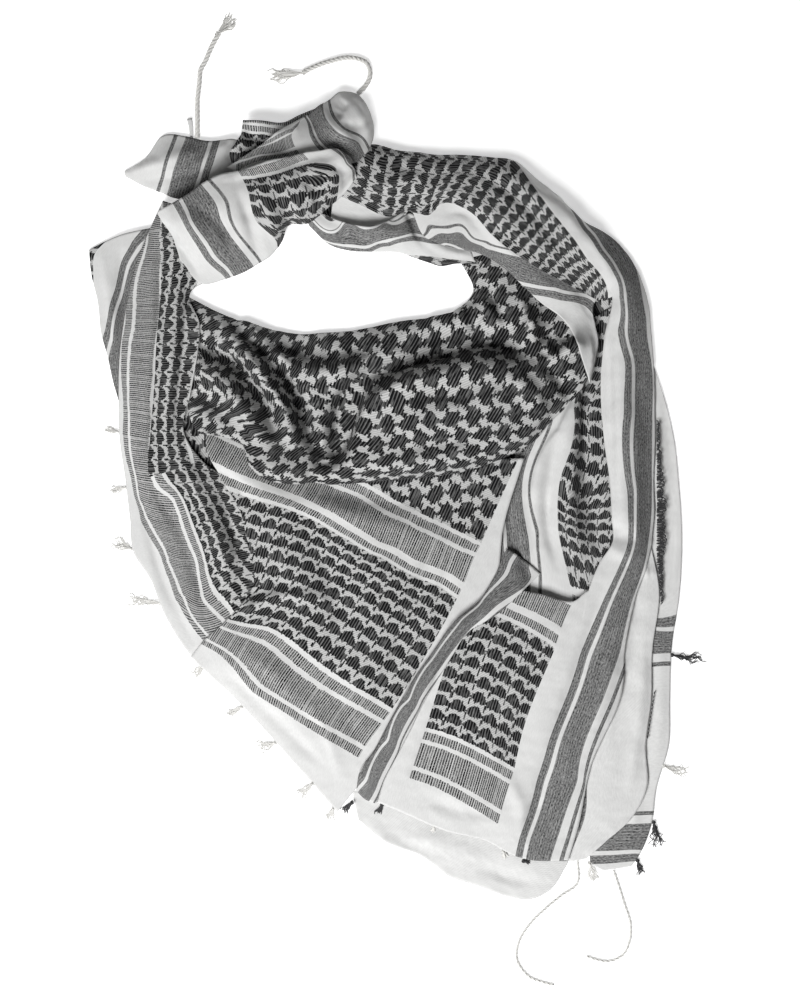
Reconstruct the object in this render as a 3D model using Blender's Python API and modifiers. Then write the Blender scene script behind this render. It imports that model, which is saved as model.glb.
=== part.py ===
"""Keffiyeh headscarf, folded on the diagonal, wound once, knotted and laid down flat.

Each stretch of cloth that shows is a wall on a net of sections. The hidden layers under them are one solid.
Plan positions are in mm from the middle of the scarf, heights in mm from the surface that it lies on.
"""

import math
from collections import namedtuple

import bmesh
import bpy
import numpy as np
from mathutils import Vector
from mathutils.bvhtree import BVHTree

MM = 0.001
CLOTH_WALL = 2.0  # one layer with its nap and its small wrinkles
CLOTH_FACET = 22.0  # longest side of a facet of the cloth
LAYER_GAP = 0.6  # clear space kept between two layers that cross
TIGHT_GAP = 0.35  # between the layers pulled tight in the knot
CORE_GAP = 0.56  # between the hidden layers and the cloth over them
CORE_LEAST = 3.0  # the hidden layers are nowhere thinner than this
CORE_STEPS = 14  # facets from the inner edge of the hidden layers to the outer edge
CORE_SECTIONS = 60  # sections round the neck opening
SEAM = 0.6  # clear space where two stretches of one cloth meet
THICK_CORD = 4.8
THIN_CORD = 2.6
STRAND = 1.1  # thickness of a tassel's strand where it leaves the head
HEAD_RADIUS = 1.9  # of a tassel's knotted head

WHITE = (0.80, 0.80, 0.79)
GREY = (0.30, 0.30, 0.31)
CHECK = (0.36, 0.36, 0.36)
BLACK = (0.025, 0.025, 0.027)

GAP = None  # a station that the cloth doesn't reach
Net = namedtuple("Net", "columns rows")
POCKET_ROW, PANEL_ROW = 11, 19  # rows of RIGHT_SIDE where its three stretches part
# The frayed tufts at the ends of cords A and B: root, tip and how far the strands fan out.
TUFTS = [
    ("tuft_a", (-160.4, 416.4), (-144.8, 433), 0.7),
    ("tuft_b", (-83.3, 382), (-116.8, 377), 0.35),
]

# The under layer's white hem, below the front.
BOTTOM_UNDER = Net(
    ("tuck", "middle", "rim"),
    [
        [(-40, -266, 2.6), (-37, -279, 2.8), (-34, -292, 2.4)],
        [(-10, -269, 3.5), (-11, -292, 4.2), (-12, -310, 2.4)],
        [(24, -274, 3.8), (24, -302, 4.6), (24, -325, 2.4)],
        [(53, -284, 3.8), (50, -317, 4.8), (48, -343, 2.4)],
        [(80, -293, 3.8), (77, -326, 4.8), (75, -352, 2.4)],
        [(104, -302, 3.8), (102, -335, 4.8), (100, -361, 2.4)],
        [(125, -308, 3.8), (123, -338, 4.6), (120, -364, 2.4)],
        [(144, -311, 3.5), (140, -338, 4), (138, -356, 2.4)],
        [(161, -317, 2.8), (157, -324, 2.8), (154, -333, 2.4)],
    ],
)

# The under layer's striped hem, on the right.
RIGHT_UNDER = Net(
    ("tuck", "rim"),
    [
        [(225, 121, 2.5), (232, 119, 2.4)],
        [(225, 86, 2.9), (243, 85, 2.4)],
        [(227, 50, 3), (251, 50, 2.4)],
        [(228, 14, 3), (255, 13, 2.4)],
        [(228, -42, 3), (258, -42, 2.4)],
        [(225, -94, 3), (255, -94, 2.4)],
        [(219, -134, 3), (249, -131, 2.4)],
        [(216, -184, 3), (247, -184, 2.4)],
        [(210, -224, 3), (246, -224, 2.4)],
        [(200, -263, 3), (235, -263, 2.4)],
        [(185, -299, 3), (230, -297, 2.4)],
        [(176, -331, 2.6), (219, -324, 2.4)],
        [(187, -338, 2.4), (212, -334, 2.4)],
    ],
)

# The plain selvedge under the lower right panel's stripes.
RIGHT_HEM = Net(
    ("tuck", "middle", "rim"),
    [
        [(218, -45, 4.6), (224, -46, 5), (230, -47, 5)],
        [(203, -85, 5.5), (222, -84, 6.5), (237, -85, 5.2)],
        [(189, -139, 6.5), (213, -138, 8), (231, -139, 5.2)],
        [(180, -184, 7), (209, -184, 9), (230, -184, 5.2)],
        [(165, -224, 7.2), (200, -225, 8.5), (225, -225, 5.2)],
        [(156, -265, 7), (194, -265, 8.2), (226, -263, 5.2)],
        [(151, -293, 6.5), (183, -290, 7.6), (213, -289, 5.2)],
        [(146, -315, 6), (170, -312, 6.6), (190, -310, 5.2)],
        [(147, -329, 5.4), (159, -329, 5.4), (171, -327, 5.2)],
    ],
)

# The frayed black edge that lies on the right under layer.
FRAY = Net(
    ("left", "right"),
    [
        [(235, 23, 4.9), (237, 23, 4.9)],
        [(235, -10, 4.9), (240, -10, 4.9)],
        [(235, -40, 4.9), (244, -40, 4.9)],
        [(236, -58, 4.9), (246, -58, 4.9)],
        [(239, -80, 4.9), (248, -80, 4.9)],
        [(239, -96, 4.9), (243, -97, 4.9)],
    ],
)

# The rear layer, which shows on the far left.
REAR_LEFT = Net(
    ("rim", "middle", "tuck"),
    [
        [(-277, 222, 2.5), (-250, 235, 5), (-214, 243, 6.5)],
        [(-275, 201, 2.5), (-254, 203, 6), (-220, 211, 7.5)],
        [(-269, 174, 2.5), (-253, 176, 6), (-224, 180, 7)],
        [(-266, 147, 2.5), (-252, 148, 5.5), (-228, 151, 6)],
        [(-260, 125, 2.5), (-249, 125, 4.5), (-231, 127, 5)],
        [(-255, 102, 2.4), (-247, 101, 3.4), (-232, 101, 3.8)],
        [(-250, 85, 2.4), (-244, 83, 2.8), (-234, 81, 2.8)],
    ],
)

# The tied end, from its tip to the knot.
TAIL_END = Net(
    ("upper", "ridge", "lower"),
    [
        [(-245, 293, 2.5), (-245, 291, 2.8), (-244, 288, 2.5)],
        [(-229, 302, 2.6), (-228, 291, 6), (-227, 279, 2.6)],
        [(-208, 326, 3), (-211, 300, 10), (-211, 273, 3)],
        [(-188, 324, 4), (-195, 295, 13), (-202, 269, 6)],
        [(-171, 320, 5), (-179, 293, 15), (-189, 267, 9)],
        [(-152, 321, 6), (-162, 297, 15), (-169, 272, 11)],
        [(-135, 322, 7), (-141, 300, 14), (-144, 275, 11)],
        [(-119, 319, 7), (-121, 299, 12.2), (-123, 277, 10.8)],
    ],
)

# The tab beside cord A's root.
TAIL_TAB = Net(
    ("left", "right"),
    [
        [(-189, 340, 2.6), (-184, 341, 2.6)],
        [(-187, 332, 2.6), (-183, 332, 2.6)],
        [(-186, 324, 2.8), (-183, 323, 2.8)],
    ],
)

# Cloth tucked into the knot.
KNOT_TUCK = Net(
    ("left", "fold", "back", "right", "end"),
    [
        [(-138, 339, 15), (-121, 338, 16), (-102, 336, 16), (-87, 343, 14), (-65, 352, 10)],
        [(-139, 328, 19), (-123, 328, 20), (-103, 326, 20), (-83, 334, 17), (-61, 346, 12)],
        [(-144, 318, 21), (-128, 315, 23), (-108, 315, 25), (-83, 323, 26), (-58, 337, 22)],
        [(-150, 308, 19), (-139, 303, 22), (-119, 302, 25), (-90, 310, 27), (-60, 324, 26)],
        [(-148, 300, 17), (-136, 292, 20), (-119, 292, 24), (-92, 298, 26), (-63, 311, 25)],
    ],
)

# The knot's upper layer, from its left end to the corner that cord B leaves.
WRAP_TOP = Net(
    ("outline", "crest", "tuck"),
    [
        [(-152, 295, 22.9), (-144, 291, 25.9), (-134, 281, 25.9)],
        [(-134, 307, 24.9), (-124, 300, 28.9), (-115, 287, 28.9)],
        [(-112, 322, 24.9), (-102, 311, 29.9), (-94, 295, 29.9)],
        [(-95, 334, 22.9), (-86, 319, 30.9), (-77, 300, 30.9)],
        [(-83, 341, 19.9), (-69, 321, 30.9), (-54, 301, 29.9)],
        [(-71, 350, 15.9), (-54, 328, 29.9), (-38, 299, 24.9)],
        [(-60, 357, 12.9), (-46, 337, 27.9), (-28, 307, 16.9)],
        [(-51, 364, 9.9), (-37, 345, 23.9), (-21, 320, 11.9)],
        [(-41, 364, 6.4), (-32, 349, 14.9), (-20, 333, 7.9)],
        [(-34, 362, 4.4), (-28, 355, 7.4), (-23, 345, 5.9)],
    ],
)

# The knot's front layer, from the hem to the far end.
WRAP_FRONT = Net(
    ("top", "crest", "belly", "lower"),
    [
        [(-215, 255, 22.5), (-209, 243, 24.5), (-202, 230, 23.5), (-193, 212, 19.5)],
        [(-208, 259, 27.5), (-197, 243, 32.5), (-188, 225, 30.5), (-175, 191, 10.5)],
        [(-199, 264, 29.5), (-184, 241, 36.5), (-171, 219, 33.5), (-151, 196, 8.5)],
        [(-187, 271, 31.5), (-171, 246, 39.5), (-157, 221, 35.5), (-138, 201, 8.5)],
        [(-173, 281, 33.5), (-158, 258, 41.5), (-142, 232, 37.5), (-124, 209, 8.5)],
        [(-159, 288, 34.5), (-144, 264, 42.5), (-131, 238, 38.5), (-114, 215, 9.5)],
        [(-135, 292, 35.5), (-124, 270, 43.5), (-115, 247, 39.5), (-104, 228, 11.5)],
        [(-110, 299, 36.5), (-104, 281, 44.5), (-99, 263, 40.5), (-97, 243, 12.5)],
        [(-87, 304, 36.5), (-81, 288, 44.5), (-78, 270, 40.5), (-80, 245, 12.5)],
        [(-69, 307, 35.5), (-62, 296, 41.5), (-57, 283, 37.5), (-55, 264, 13.5)],
        [(-55, 308, 33.5), (-48, 302, 37.5), (-43, 293, 33.5), (-41, 278, 14.5)],
        [(-46, 305, 30.5), (-42, 301, 32.5), (-38, 295, 29.5), (-35, 287, 16.5)],
    ],
)

# The neck loop's turned inner edge.
NECK_LEFT = Net(
    ("turn", "middle", "edge"),
    [
        [(-87, 262, 13.5), (-83, 253, 13), (-78, 243, 9)],
        [(-69, 255, 14), (-63, 241, 15), (-59, 226, 6)],
        [(-47, 246, 16), (-44, 233, 15), (-41, 221, 5)],
        [(-25, 243, 17), (-24, 230, 15), (-20, 220, 5)],
        [(-6, 248, 17.5), (-1, 233, 15), (4, 219, 5)],
        [(7, 250, 16), (12, 234, 12.5), (18, 214, 5)],
        [(16, 240, 10.5), (22, 228, 10.5), (30, 210, 6.5)],
        [(27, 232, 9.2), (34, 221, 9.4), (40, 207, 8)],
        [(45, 228, 9), (48, 220, 9.2), (53, 209, 8.4)],
        [(68, 220, 9), (70, 214, 9), (73, 209, 8.6)],
    ],
)

# From under the knot, round the far side of the neck, down the right side and out into the lower
# right panel. The inner columns end at the pocket, and start again at that panel's top.
RIGHT_SIDE = Net(
    ("inner", "band", "small_in", "middle", "small_out", "stripe", "outer"),
    [
        [
            (-59, 238, 9.5), (-59, 248, 10.5), (-57, 264, 12), (-52, 284, 17), (-46, 300, 15),
            (-44, 305, 13), (-43, 309, 12),
        ],
        [
            (-27, 238, 10), (-27, 247, 11), (-26, 261, 14), (-24, 284, 21), (-23, 307, 18),
            (-23, 314, 11), (-23, 317, 3),
        ],
        [
            (0, 241, 10.5), (1, 248, 11.5), (3, 256, 14), (4, 280, 22), (6, 301, 18), (6, 309, 11),
            (6, 311, 3),
        ],
        [
            (12, 257, 13.2), (13, 261, 14.2), (14, 266, 16.5), (16, 281, 22), (19, 300, 19),
            (19, 307, 11), (19, 310, 3),
        ],
        [
            (25, 234, 13.5), (27, 244, 16), (29, 256, 18), (30, 277, 23), (33, 299, 19), (34, 306, 11),
            (34, 308, 3),
        ],
        [
            (45, 225, 13), (45, 243, 18), (46, 264, 20), (48, 283, 24), (53, 298, 20), (54, 305, 11),
            (54, 308, 3),
        ],
        [
            (75, 218, 12), (69, 241, 19), (65, 258, 21), (71, 281, 25), (79, 297, 20), (82, 303, 11),
            (82, 306, 3),
        ],
        [
            (96, 206, 13), (93, 223, 19), (84, 237, 21), (94, 264, 26), (103, 292, 21), (107, 300, 11),
            (107, 302, 3),
        ],
        [
            (112, 191, 14), (112, 207, 19), (104, 220, 21), (120, 248, 25), (130, 273, 23),
            (130, 278, 15), (129, 284, 3.2),
        ],
        [
            (130, 174, 14), (135, 191, 18), (131, 203, 19), (142, 225, 21), (153, 243, 24),
            (158, 253, 18), (163, 254, 3.4),
        ],
        [
            (149, 160, 12), (156, 180, 14), (157, 189, 13), (165, 202, 17), (174, 211, 24),
            (187, 222, 22), (201, 228, 4),
        ],
        [
            (171, 157, 10.5), (177, 170, 9.8), (181, 176, 9.8), (187, 179, 11), (194, 180, 17),
            (203, 184, 24), (225, 185, 5.5),
        ],
        [GAP, GAP, GAP, GAP, (188, 147, 15), (205, 148, 23), (230, 148, 5.6)],
        [GAP, GAP, GAP, GAP, (184, 104, 14), (206, 101, 22), (233, 102, 5.6)],
        [GAP, GAP, GAP, GAP, (187, 50, 14), (210, 50, 21), (234, 50, 5.6)],
        [GAP, GAP, GAP, GAP, (192, 13, 14), (211, 13, 20), (233, 13, 5.6)],
        [GAP, GAP, GAP, GAP, (194, -22, 15), (213, -22, 20), (233, -22, 5.6)],
        [GAP, GAP, GAP, GAP, (195, -40, 15), (217, -38, 18), (230, -44, 5.8)],
        [GAP, GAP, GAP, GAP, (183, -60, 15), (206, -60, 18), (224, -67, 6.5)],
        [
            (89, -92, 15), (104, -85, 17), (129, -88, 18), (161, -94, 16), (173, -85, 16),
            (191, -87, 18), (217, -86, 7.5),
        ],
        [
            (66, -104, 14), (92, -104, 17), (119, -118, 18), (148, -134, 17), (165, -132, 17),
            (175, -130, 18), (207, -130, 8.5),
        ],
        [
            (37, -143, 13), (50, -151, 15), (89, -167, 17), (134, -175, 17), (154, -176, 17),
            (162, -175, 18), (203, -179, 9.5),
        ],
        [
            (8, -193, 12), (30, -209, 14), (71, -229, 15), (111, -246, 15), (129, -248, 15),
            (137, -248, 16), (176, -242, 10.5),
        ],
        [
            (-15, -236, 11), (15, -256, 12), (53, -276, 13), (93, -297, 13), (110, -301, 13),
            (118, -296, 13), (163, -302, 10),
        ],
        [
            (-26, -272, 9.5), (3, -284, 10), (46, -302, 10.5), (80, -310, 10.5), (107, -324, 10.5),
            (123, -328, 10.5), (155, -328, 9),
        ],
    ],
)

# The deep column between the cowl and the right side.
INNER_COLUMN = Net(
    ("tuck", "valley", "facet", "column", "border"),
    [
        [(167, 153, 6.6), (173, 157, 6.6), (179, 160, 6.6), (186, 166, 6.6), (198, 171, 7)],
        [(160, 121, 6), (168, 122, 7), (176, 124, 8), (183, 127, 7), (196, 130, 6)],
        [(142, 79, 8), (152, 81, 9), (164, 84, 13), (176, 88, 9), (194, 91, 6)],
        [(122, 50, 8), (137, 53, 8), (159, 61, 14), (174, 59, 10), (196, 59, 6)],
        [(101, 19, 8), (116, 22, 6.5), (147, 22, 14), (170, 22, 11), (201, 19, 7)],
        [(92, -8, 8), (109, -8, 6), (139, -7, 14), (170, -9, 11), (203, -13, 7)],
        [(88, -35, 8), (109, -36, 6), (144, -32, 13), (168, -36, 11), (201, -40, 8)],
        [(90, -59, 7), (115, -63, 7), (135, -67, 12), (158, -68, 11), (183, -64, 9)],
        [(96, -85, 7.2), (115, -91, 7.6), (132, -96, 9), (147, -101, 9), (173, -96, 8)],
    ],
)

# The lined hem and the column beside it, down the left.
LEFT_BAND = Net(
    ("hem", "fold", "column", "tuck"),
    [
        [(-210, 266, 10), (-202, 263, 15), (-186, 254, 17), (-162, 236, 15)],
        [(-222, 240, 9.5), (-213, 238, 17), (-193, 230, 20), (-164, 215, 15)],
        [(-233, 212, 9.5), (-213, 211, 18), (-195, 207, 20), (-167, 198, 11)],
        [(-240, 185, 9.5), (-213, 185, 18), (-198, 184, 20), (-185, 182, 10)],
        [(-245, 158, 9), (-215, 158, 18), (-196, 157, 19), (-177, 156, 13)],
        [(-249, 127, 8), (-217, 127, 18), (-197, 125, 19), (-179, 125, 14)],
        [(-250, 91, 6.5), (-219, 91, 17), (-202, 90, 18), (-185, 92, 14)],
        [(-249, 50, 5), (-222, 52, 15), (-205, 53, 16), (-191, 58, 12)],
        [(-244, 13, 4.5), (-222, 17, 13), (-202, 23, 14), (-175, 32, 9)],
        [(-240, -20, 4.5), (-202, -6, 12), (-180, 4, 12), (-151, 14, 8)],
        [(-237, -50, 4.5), (-189, -37, 11), (-164, -29, 11), (-133, -21, 8)],
        [(-221, -76, 4.5), (-180, -67, 10), (-157, -60, 10), (-124, -55, 8)],
        [(-210, -104, 4.5), (-173, -92, 10), (-151, -87, 9), (-119, -84, 7.5)],
        [(-192, -135, 4), (-164, -113, 8), (-146, -105, 7), (-123, -101, 7)],
        [(-177, -154, 3.2), (-152, -131, 5), (-137, -122, 5), (-120, -113, 6)],
    ],
)

# The lower left panel, from under the cowl to the hem.
LEFT_FLAP = Net(
    ("fold", "left", "right", "tuck"),
    [
        [(-164, 65, 7), (-87, 35, 10), (2, 32, 12.2), (115, 34, 12.4)],
        [(-171, 54, 11), (-103, 14, 11.5), (-4, -1, 11.5), (96, -32, 10)],
        [(-169, 38, 15), (-109, 2, 16), (-8, -26, 17), (92, -68, 9)],
        [(-158, 17, 16), (-96, -14, 17), (-18, -51, 17), (82, -100, 8)],
        [(-141, -14, 16), (-87, -53, 16), (-24, -98, 17), (57, -127, 8)],
        [(-135, -44, 14), (-87, -85, 16), (-37, -130, 16), (34, -158, 8)],
        [(-129, -78, 12), (-96, -112, 15), (-51, -157, 15), (18, -184, 7.5)],
        [(-153, -112, 10), (-116, -124, 13), (-60, -162, 13), (5, -203, 7)],
        [(-173, -130, 7.5), (-131, -174, 10), (-87, -203, 10), (-22, -245, 6.5)],
        [(-185, -145, 4), (-138, -190, 3), (-94, -238, 3), (-53, -285, 3)],
    ],
)

# The folded strip between the two lower panels.
PLEAT = Net(
    ("left", "crest", "right"),
    [
        [(99, -47, 14), (111, -54, 18), (130, -70, 17)],
        [(89, -71, 15), (101, -78, 21), (113, -86, 20)],
        [(75, -94, 15), (84, -99, 22), (94, -104, 20)],
        [(51, -118, 14), (57, -122, 21), (65, -124, 18)],
        [(36, -138, 13), (43, -141, 20), (51, -144, 17)],
        [(22, -158, 13), (30, -162, 20), (38, -165, 16)],
        [(8, -181, 12), (15, -184, 19), (24, -187, 16)],
        [(-6, -204, 12), (3, -209, 18), (12, -212, 15)],
        [(-20, -229, 11), (-11, -233, 17), (-1, -237, 14)],
        [(-33, -248, 10), (-24, -255, 16), (-12, -258, 13)],
        [(-36, -265, 9), (-28, -273, 13), (-18, -277, 12)],
    ],
)

# The cowl, from the neck edge to its hanging edge.
COWL = Net(
    ("left", "c1", "c2", "c3", "c4", "c5", "c6", "right"),
    [
        [
            (-188, 180, 6), (-145, 159, 6), (-96, 148, 6), (-46, 149, 6), (8, 158, 6), (55, 167, 6),
            (69, 184, 6), (57, 213, 4.6),
        ],
        [
            (-188, 166, 8), (-144, 149, 14), (-96, 137, 15), (-46, 137, 16), (8, 145, 17),
            (60, 157, 17), (86, 178, 12), (98, 218, 6),
        ],
        [
            (-187, 136, 9), (-144, 130, 19), (-96, 119, 23), (-47, 117, 24), (5, 126, 25),
            (58, 140, 27), (106, 157, 20), (137, 178, 9.5),
        ],
        [
            (-188, 103, 9.6), (-143, 99, 20), (-96, 85, 24), (-49, 83, 19), (2, 101, 29),
            (56, 112, 31), (115, 126, 27), (170, 149, 12),
        ],
        [
            (-187, 77, 8.5), (-141, 72, 19), (-103, 50, 24), (-56, 49, 23), (-2, 59, 33), (54, 72, 34),
            (115, 92, 31), (175, 131, 14),
        ],
        [
            (-182, 62, 8), (-140, 58, 16), (-117, 28, 20), (-68, 20, 23), (-6, 22, 26), (57, 32, 25),
            (117, 54, 24), (173, 110, 15),
        ],
        [
            (-176, 56, 7.5), (-140, 49, 11), (-124, 20, 14), (-69, 11, 15), (-6, 14, 15), (59, 22, 14),
            (122, 48, 14), (165, 92, 13),
        ],
    ],
)

# The hidden layers' edge at the neck, and their outer edge, round the neck opening.
CoreSection = namedtuple("CoreSection", "inner_x inner_y outer_x outer_y")
CORE = [
    CoreSection(-195, 178, -210, 176),
    CoreSection(-172, 209, -200, 243),
    CoreSection(-153, 218, -177, 275),
    CoreSection(-133, 225, -162, 302),
    CoreSection(-115, 239, -141, 313),
    CoreSection(-101, 256, -121, 320),
    CoreSection(-82, 259, -96, 322),
    CoreSection(-61, 248, -67, 333),
    CoreSection(-49, 241, -47, 329),
    CoreSection(-36, 239, -34, 301),
    CoreSection(-15, 238, -13, 301),
    CoreSection(12, 234, 12, 297),
    CoreSection(44, 230, 39, 295),
    CoreSection(74, 223, 75, 292),
    CoreSection(88, 214, 104, 283),
    CoreSection(95, 203, 147, 239),
    CoreSection(93, 185, 183, 211),
    CoreSection(88, 172, 210, 180),
    CoreSection(79, 157, 216, 131),
    CoreSection(65, 149, 218, 68),
    CoreSection(48, 144, 218, 14),
    CoreSection(30, 140, 214, -35),
    CoreSection(14, 137, 194, -94),
    CoreSection(-4, 134, 180, -152),
    CoreSection(-22, 131, 167, -197),
    CoreSection(-40, 130, 147, -251),
    CoreSection(-54, 130, 120, -281),
    CoreSection(-69, 130, 75, -271),
    CoreSection(-81, 130, 29, -251),
    CoreSection(-94, 132, -15, -230),
    CoreSection(-106, 134, -51, -211),
    CoreSection(-117, 137, -87, -185),
    CoreSection(-128, 140, -121, -158),
    CoreSection(-138, 142, -157, -113),
    CoreSection(-147, 144, -180, -53),
    CoreSection(-157, 148, -202, -5),
    CoreSection(-166, 152, -217, 41),
    CoreSection(-173, 158, -214, 95),
    CoreSection(-180, 165, -212, 140),
]

# Routes of the twisted corner cords, from the cloth to the free end.
ROUTES = {
    "cord_a": [
        (-179.3, 323), (-179.3, 338.4), (-179.3, 356.4), (-177.5, 373.5), (-176.6, 383.4),
        (-172.1, 391.5), (-168.5, 400.5), (-164, 409.5), (-160.4, 415.8),
    ],
    "cord_b": [
        (-34.4, 362.8), (-27.6, 369.9), (-23.6, 378.9), (-27.2, 390.6), (-35.3, 394.2),
        (-44.3, 395.1), (-57.8, 392.4), (-71.3, 387.9), (-83, 382.5),
    ],
    "cord_c": [
        (163.6, -327.7), (162.7, -350.1), (149.2, -360), (133.9, -372.6), (120.4, -386.1),
        (110.5, -402.3), (108.7, -417.6), (113.2, -426.6), (120.4, -433.8), (132.1, -438.3),
        (142, -441),
    ],
    "cord_d": [
        (196, -337.4), (200.5, -351), (205.9, -368.1), (211.3, -386.1), (210.4, -401.4),
        (205, -413.1), (192.4, -419.4), (178.9, -417.6), (171.7, -414.9),
    ],
}

Tassel = namedtuple("Tassel", "root tip lift bend fan shade")
TASSELS = [
    Tassel((-248.7, 57.2), (-263, 61.2), 0, 0.1, 0.5, "white"),
    Tassel((-243.1, 7.7), (-259.4, 5), 0, -0.1, 0.5, "white"),
    Tassel((-238.3, -47.7), (-258.5, -40.5), 0, 0.1, 0.7, "white"),
    Tassel((-212.9, -96.6), (-245, -94.5), 0, -0.1, 0.4, "white"),
    Tassel((-170.7, -151.6), (-183.8, -162.5), 0, 0, 0.5, "white"),
    Tassel((-139.1, -190), (-153.2, -197.6), 0, 0, 0.6, "white"),
    Tassel((-108.7, -222.3), (-125.3, -227.7), 0, 0.1, 0.6, "white"),
    Tassel((-75.6, -259.2), (-89.3, -270.9), 0, 0.0, 0.6, "white"),
    Tassel((-56.9, -281.7), (-62.3, -293.4), 0, 0.0, 0.7, "white"),
    Tassel((-39.8, -276.3), (-48.8, -285.3), 3.0, 0, 0.6, "black"),
    Tassel((-12.8, -278), (-21.8, -297.9), 4.0, 0.1, 0.6, "black"),
    Tassel((34.3, -298.1), (29.5, -318.6), 4.3, 0, 0.7, "white"),
    Tassel((97, -320.4), (100.6, -338.4), 4.6, 0.1, 0.8, "white"),
    Tassel((115.1, -328.9), (132.1, -333.9), 4.5, 0.1, 0.5, "black"),
    Tassel((174.4, -331.2), (180.7, -349.2), 0, -0.1, 0.5, "white"),
    Tassel((241.7, -243.6), (265.3, -251.1), 0, -0.3, 0.5, "white"),
    Tassel((232.2, -294.2), (237.4, -318.6), 0, 0.1, 0.6, "black"),
    Tassel((217.6, -328.7), (221.2, -342.9), 0, 0, 0.6, "black"),
    Tassel((249, -143.4), (277.9, -147.6), 0, -0.25, 0.3, "black"),
]


def clear_scene():
    for thing in list(bpy.data.objects):
        bpy.data.objects.remove(thing, do_unlink=True)


def collection(name):
    made = bpy.data.collections.new(name)
    bpy.context.scene.collection.children.link(made)
    return made


def cloth_material(name, colour, roughness):
    made = bpy.data.materials.new(name)
    made.use_nodes = True
    shader = made.node_tree.nodes["Principled BSDF"]
    shader.inputs["Base Color"].default_value = (*colour, 1)
    shader.inputs["Roughness"].default_value = roughness
    shader.inputs["Metallic"].default_value = 0
    made.diffuse_color = (*colour, 1)
    return made


def smooth_line(points, counts):
    """Points along a smooth line through the given ones, counts[i] steps from point i to the next."""
    points = np.asarray(points, float)
    if len(points) == 2:
        steps = np.linspace(0, 1, counts[0] + 1)[:, None]
        return points[0] + (points[1] - points[0]) * steps
    span = np.maximum(np.linalg.norm(np.diff(points, axis=0), axis=1), 1e-6)
    slope = np.diff(points, axis=0) / span[:, None]
    lean = np.empty_like(points)
    before, after = span[:-1, None], span[1:, None]
    lean[1:-1] = (slope[:-1] * after + slope[1:] * before) / (before + after)
    lean[0], lean[-1] = slope[0], slope[-1]
    made = [points[:1]]
    for i, count in enumerate(counts):
        t = np.linspace(0, 1, count + 1)[1:, None]
        a, b = points[i], points[i + 1]
        p, q = lean[i] * span[i], lean[i + 1] * span[i]
        made.append(
            a * (1 + 2 * t) * (1 - t) ** 2 + p * t * (1 - t) ** 2
            + b * t * t * (3 - 2 * t) + q * t * t * (t - 1)
        )
    return np.concatenate(made)


def steps_between(lines, facet):
    """How many steps each span needs, from its longest length over all the lines."""
    longest = np.nanmax(np.linalg.norm(np.diff(lines, axis=1), axis=2), axis=0)
    return [max(1, math.ceil(length / facet)) for length in longest]


def cloth_points(net, facet):
    """A grid of points on the net's smooth surface, with NaN where the cloth doesn't reach."""
    blank = (np.nan,) * 3
    coarse = np.array([[blank if p is None else p for p in row] for row in net.rows], float)
    across = steps_between(coarse, facet)
    wide = np.full((len(coarse), sum(across) + 1, 3), np.nan)
    for made, row in zip(wide, coarse):
        first = int(np.argmax(~np.isnan(row[:, 0])))
        begin = sum(across[:first])
        made[begin:] = smooth_line(row[first:], across[first:])
    along = steps_between(coarse.transpose(1, 0, 2), facet)
    starts = np.concatenate([[0], np.cumsum(along)])
    fine = np.full((starts[-1] + 1, wide.shape[1], 3), np.nan)
    for column in range(wide.shape[1]):
        there = ~np.isnan(wide[:, column, 0])
        row = 0
        while row < len(there):
            end = row
            while end < len(there) and there[end]:
                end += 1
            if end > row + 1:
                run = smooth_line(wide[row:end, column], along[row : end - 1])
                fine[starts[row] : starts[end - 1] + 1, column] = run
            row = max(end, row + 1)
    return fine, starts


def surface(points):
    """A bmesh on a grid of points, in mm."""
    rows, columns = points.shape[:2]
    mesh = bmesh.new()
    bmesh.ops.create_grid(mesh, x_segments=columns - 1, y_segments=rows - 1, size=1)
    lost = []
    for vertex in mesh.verts:
        column = round((vertex.co.x + 1) / 2 * (columns - 1))
        row = round((vertex.co.y + 1) / 2 * (rows - 1))
        place = points[row, column]
        if np.isnan(place[0]):
            lost.append(vertex)
        else:
            vertex.co = place
    bmesh.ops.delete(mesh, geom=lost, context="VERTS")
    bmesh.ops.recalc_face_normals(mesh, faces=mesh.faces)
    if sum(face.normal.z * face.calc_area() for face in mesh.faces) < 0:
        bmesh.ops.reverse_faces(mesh, faces=mesh.faces)
    return mesh


def tree_of(points):
    mesh = surface(points)
    made = BVHTree.FromBMesh(mesh)
    mesh.free()
    return made


def around(*radii):
    """Offsets to sample round a point: cloth and core facets are as wide as this."""
    turns = np.linspace(0, 2 * math.pi, 9)[:-1]
    return [(0, 0)] + [(math.cos(a) * r, math.sin(a) * r) for r in radii for a in turns]


NEAR_CLOTH = around(5, 10)
CLOSE_CLOTH = around(2.5, 5)


def drape(points, under, clearance, near):
    """Lifts the cloth where it would sink into the layers under it, and eases the lift out around."""
    rows, columns = points.shape[:2]
    lift = np.zeros((rows, columns))
    for row in range(rows):
        for column in range(columns):
            x, y, z = points[row, column]
            if math.isnan(x):
                continue
            for tree in under:
                for dx, dy in near:
                    hit = tree.ray_cast(Vector((x + dx, y + dy, 500)), Vector((0, 0, -1)))[0]
                    if hit is not None:
                        lift[row, column] = max(lift[row, column], hit.z + clearance - z)
    need = lift.copy()
    for _ in range(3):
        wide = np.pad(lift, 1, mode="edge")
        mean = (wide[:-2, 1:-1] + wide[2:, 1:-1] + wide[1:-1, :-2] + wide[1:-1, 2:]) / 4
        lift = np.maximum(need, mean)
    made = points.copy()
    made[..., 2] += lift
    return made


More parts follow.
